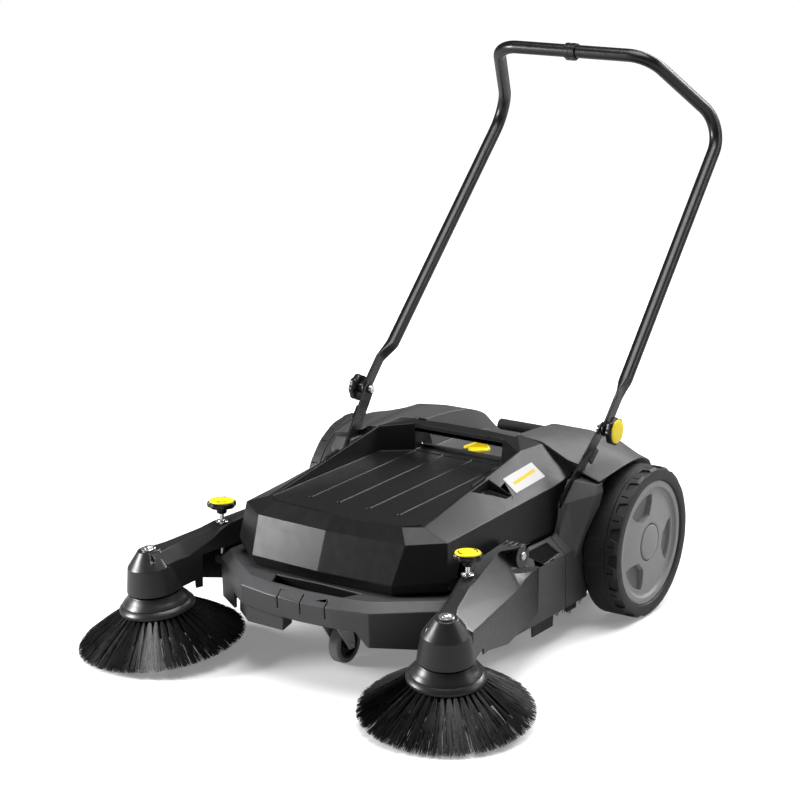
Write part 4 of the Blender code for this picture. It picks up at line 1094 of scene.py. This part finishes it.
def studio():
    """Surroundings that are white to the camera and dim to all else, a pale floor, and five soft lights."""
    world = bpy.data.worlds.new("studio")
    bpy.context.scene.world = world
    world.use_nodes = True
    tree = world.node_tree
    background = tree.nodes["Background"]
    background.inputs["Color"].default_value = (1, 1, 1, 1)
    rays = tree.nodes.new("ShaderNodeLightPath")
    strength = tree.nodes.new("ShaderNodeMapRange")
    strength.inputs["To Min"].default_value = 0.08
    strength.inputs["To Max"].default_value = 1.0
    link(tree, rays.outputs["Is Camera Ray"], strength.inputs["Value"])
    link(tree, strength.outputs["Result"], background.inputs["Strength"])

    floor_mat = bpy.data.materials.new("studio_floor")
    floor_mat.use_nodes = True
    tree = floor_mat.node_tree
    shader = tree.nodes["Principled BSDF"]
    shader.inputs["Base Color"].default_value = (0.90, 0.90, 0.90, 1)
    shader.inputs["Roughness"].default_value = 0.9
    shader.inputs["Emission Color"].default_value = (1, 1, 1, 1)
    glow = tree.nodes.new("ShaderNodeMapRange")
    glow.inputs["From Min"].default_value = 0.75
    glow.inputs["From Max"].default_value = 2.2
    glow.inputs["To Min"].default_value = 0.22
    glow.inputs["To Max"].default_value = 1.0
    length = tree.nodes.new("ShaderNodeVectorMath")
    length.operation = "LENGTH"
    link(tree, tree.nodes.new("ShaderNodeTexCoord").outputs["Object"], length.inputs[0])
    link(tree, length.outputs["Value"], glow.inputs["Value"])
    seen = tree.nodes.new("ShaderNodeLightPath")
    tone = mixed(tree, seen.outputs["Is Camera Ray"], (0.40, 0.40, 0.40), (0.90, 0.90, 0.90))
    link(tree, tone, shader.inputs["Base Color"])
    shown = tree.nodes.new("ShaderNodeMapRange")
    shown.inputs["To Min"].default_value = 0.35
    link(tree, seen.outputs["Is Camera Ray"], shown.inputs["Value"])
    shining = tree.nodes.new("ShaderNodeMath")
    shining.operation = "MULTIPLY"
    link(tree, glow.outputs["Result"], shining.inputs[0])
    link(tree, shown.outputs["Result"], shining.inputs[1])
    link(tree, shining.outputs[0], shader.inputs["Emission Strength"])
    floor = bpy.data.objects.new("floor", turned([(0, 0), (14, 0), (14, -0.05), (0, -0.05)], 96))
    floor.location = (0, 0, -0.0005)
    floor.data.materials.append(floor_mat)
    bpy.context.scene.collection.objects.link(floor)

    for name, power, size, place, target in (
        ("overhead", 80, (2.0, 2.0), (0.2, -0.2, 3.1), (0, 0, 0)),
        ("back_top", 70, (2.2, 1.2), (0.4, 2.9, 2.6), (0, -0.1, 0.3)),
        ("back_right", 45, (1.3, 1.0), (1.45, 2.2, 1.9), (0.2, -0.4, 0.2)),
        ("front_left", 115, (0.9, 0.9), (-2.45, -2.0, 1.2), (0, -0.3, 0.25)),
        ("right_rear", 12, (1.0, 1.4), (2.8, 1.0, 1.6), (0, 0, 0.3)),
    ):
        light = bpy.data.lights.new(name, "AREA")
        light.shape = "RECTANGLE"
        light.size, light.size_y = size
        light.energy = power
        lamp = bpy.data.objects.new(name, light)
        lamp.location = place
        lamp.rotation_euler = (Vector(target) - Vector(place)).to_track_quat("-Z", "Y").to_euler()
        bpy.context.scene.collection.objects.link(lamp)
    view = bpy.context.scene.view_settings
    view.view_transform, view.look, view.exposure, view.gamma = "Standard", "None", 0, 1


def camera():
    """A long lens from the front right, with a slight shift."""
    azimuth, elevation, roll = radians(32.397), radians(14.412), radians(0.687)
    distance = 4.2714
    ahead = Vector((-sin(azimuth) * cos(elevation), cos(azimuth) * cos(elevation), -sin(elevation)))
    level = Vector((cos(azimuth), sin(azimuth), 0))
    upright = level.cross(ahead)
    right, up = level * cos(roll) + upright * sin(roll), upright * cos(roll) - level * sin(roll)
    place = AXLE + Vector((0, -0.20059, 0.42771)) - ahead * distance
    lens = bpy.data.cameras.new("camera")
    lens.sensor_width = 36
    lens.lens = 102.104775
    lens.shift_x, lens.shift_y = -0.05659875, -0.005805
    lens.clip_start, lens.clip_end = 0.1, 60
    made = bpy.data.objects.new("camera", lens)
    turn = Matrix((right, up, -ahead)).transposed().to_4x4()
    made.matrix_world = Matrix.Translation(place) @ turn
    bpy.context.scene.collection.objects.link(made)
    bpy.context.scene.camera = made


for used in [o for o in bpy.data.objects if o.type in ("CAMERA", "LIGHT") or o.name == "Cube"]:
    bpy.data.objects.remove(used)
camera()
studio()
container()
grip_strip()
label()
base_frame()
hood()
hood_lips()
side_covers()
wheel("right", 1)
wheel("left", -1)
arms()
side_bristles()
brush_hub()
arm_screws()
knobs()
handle()
brackets()
height_knob()
small_parts()
roller_bristles()
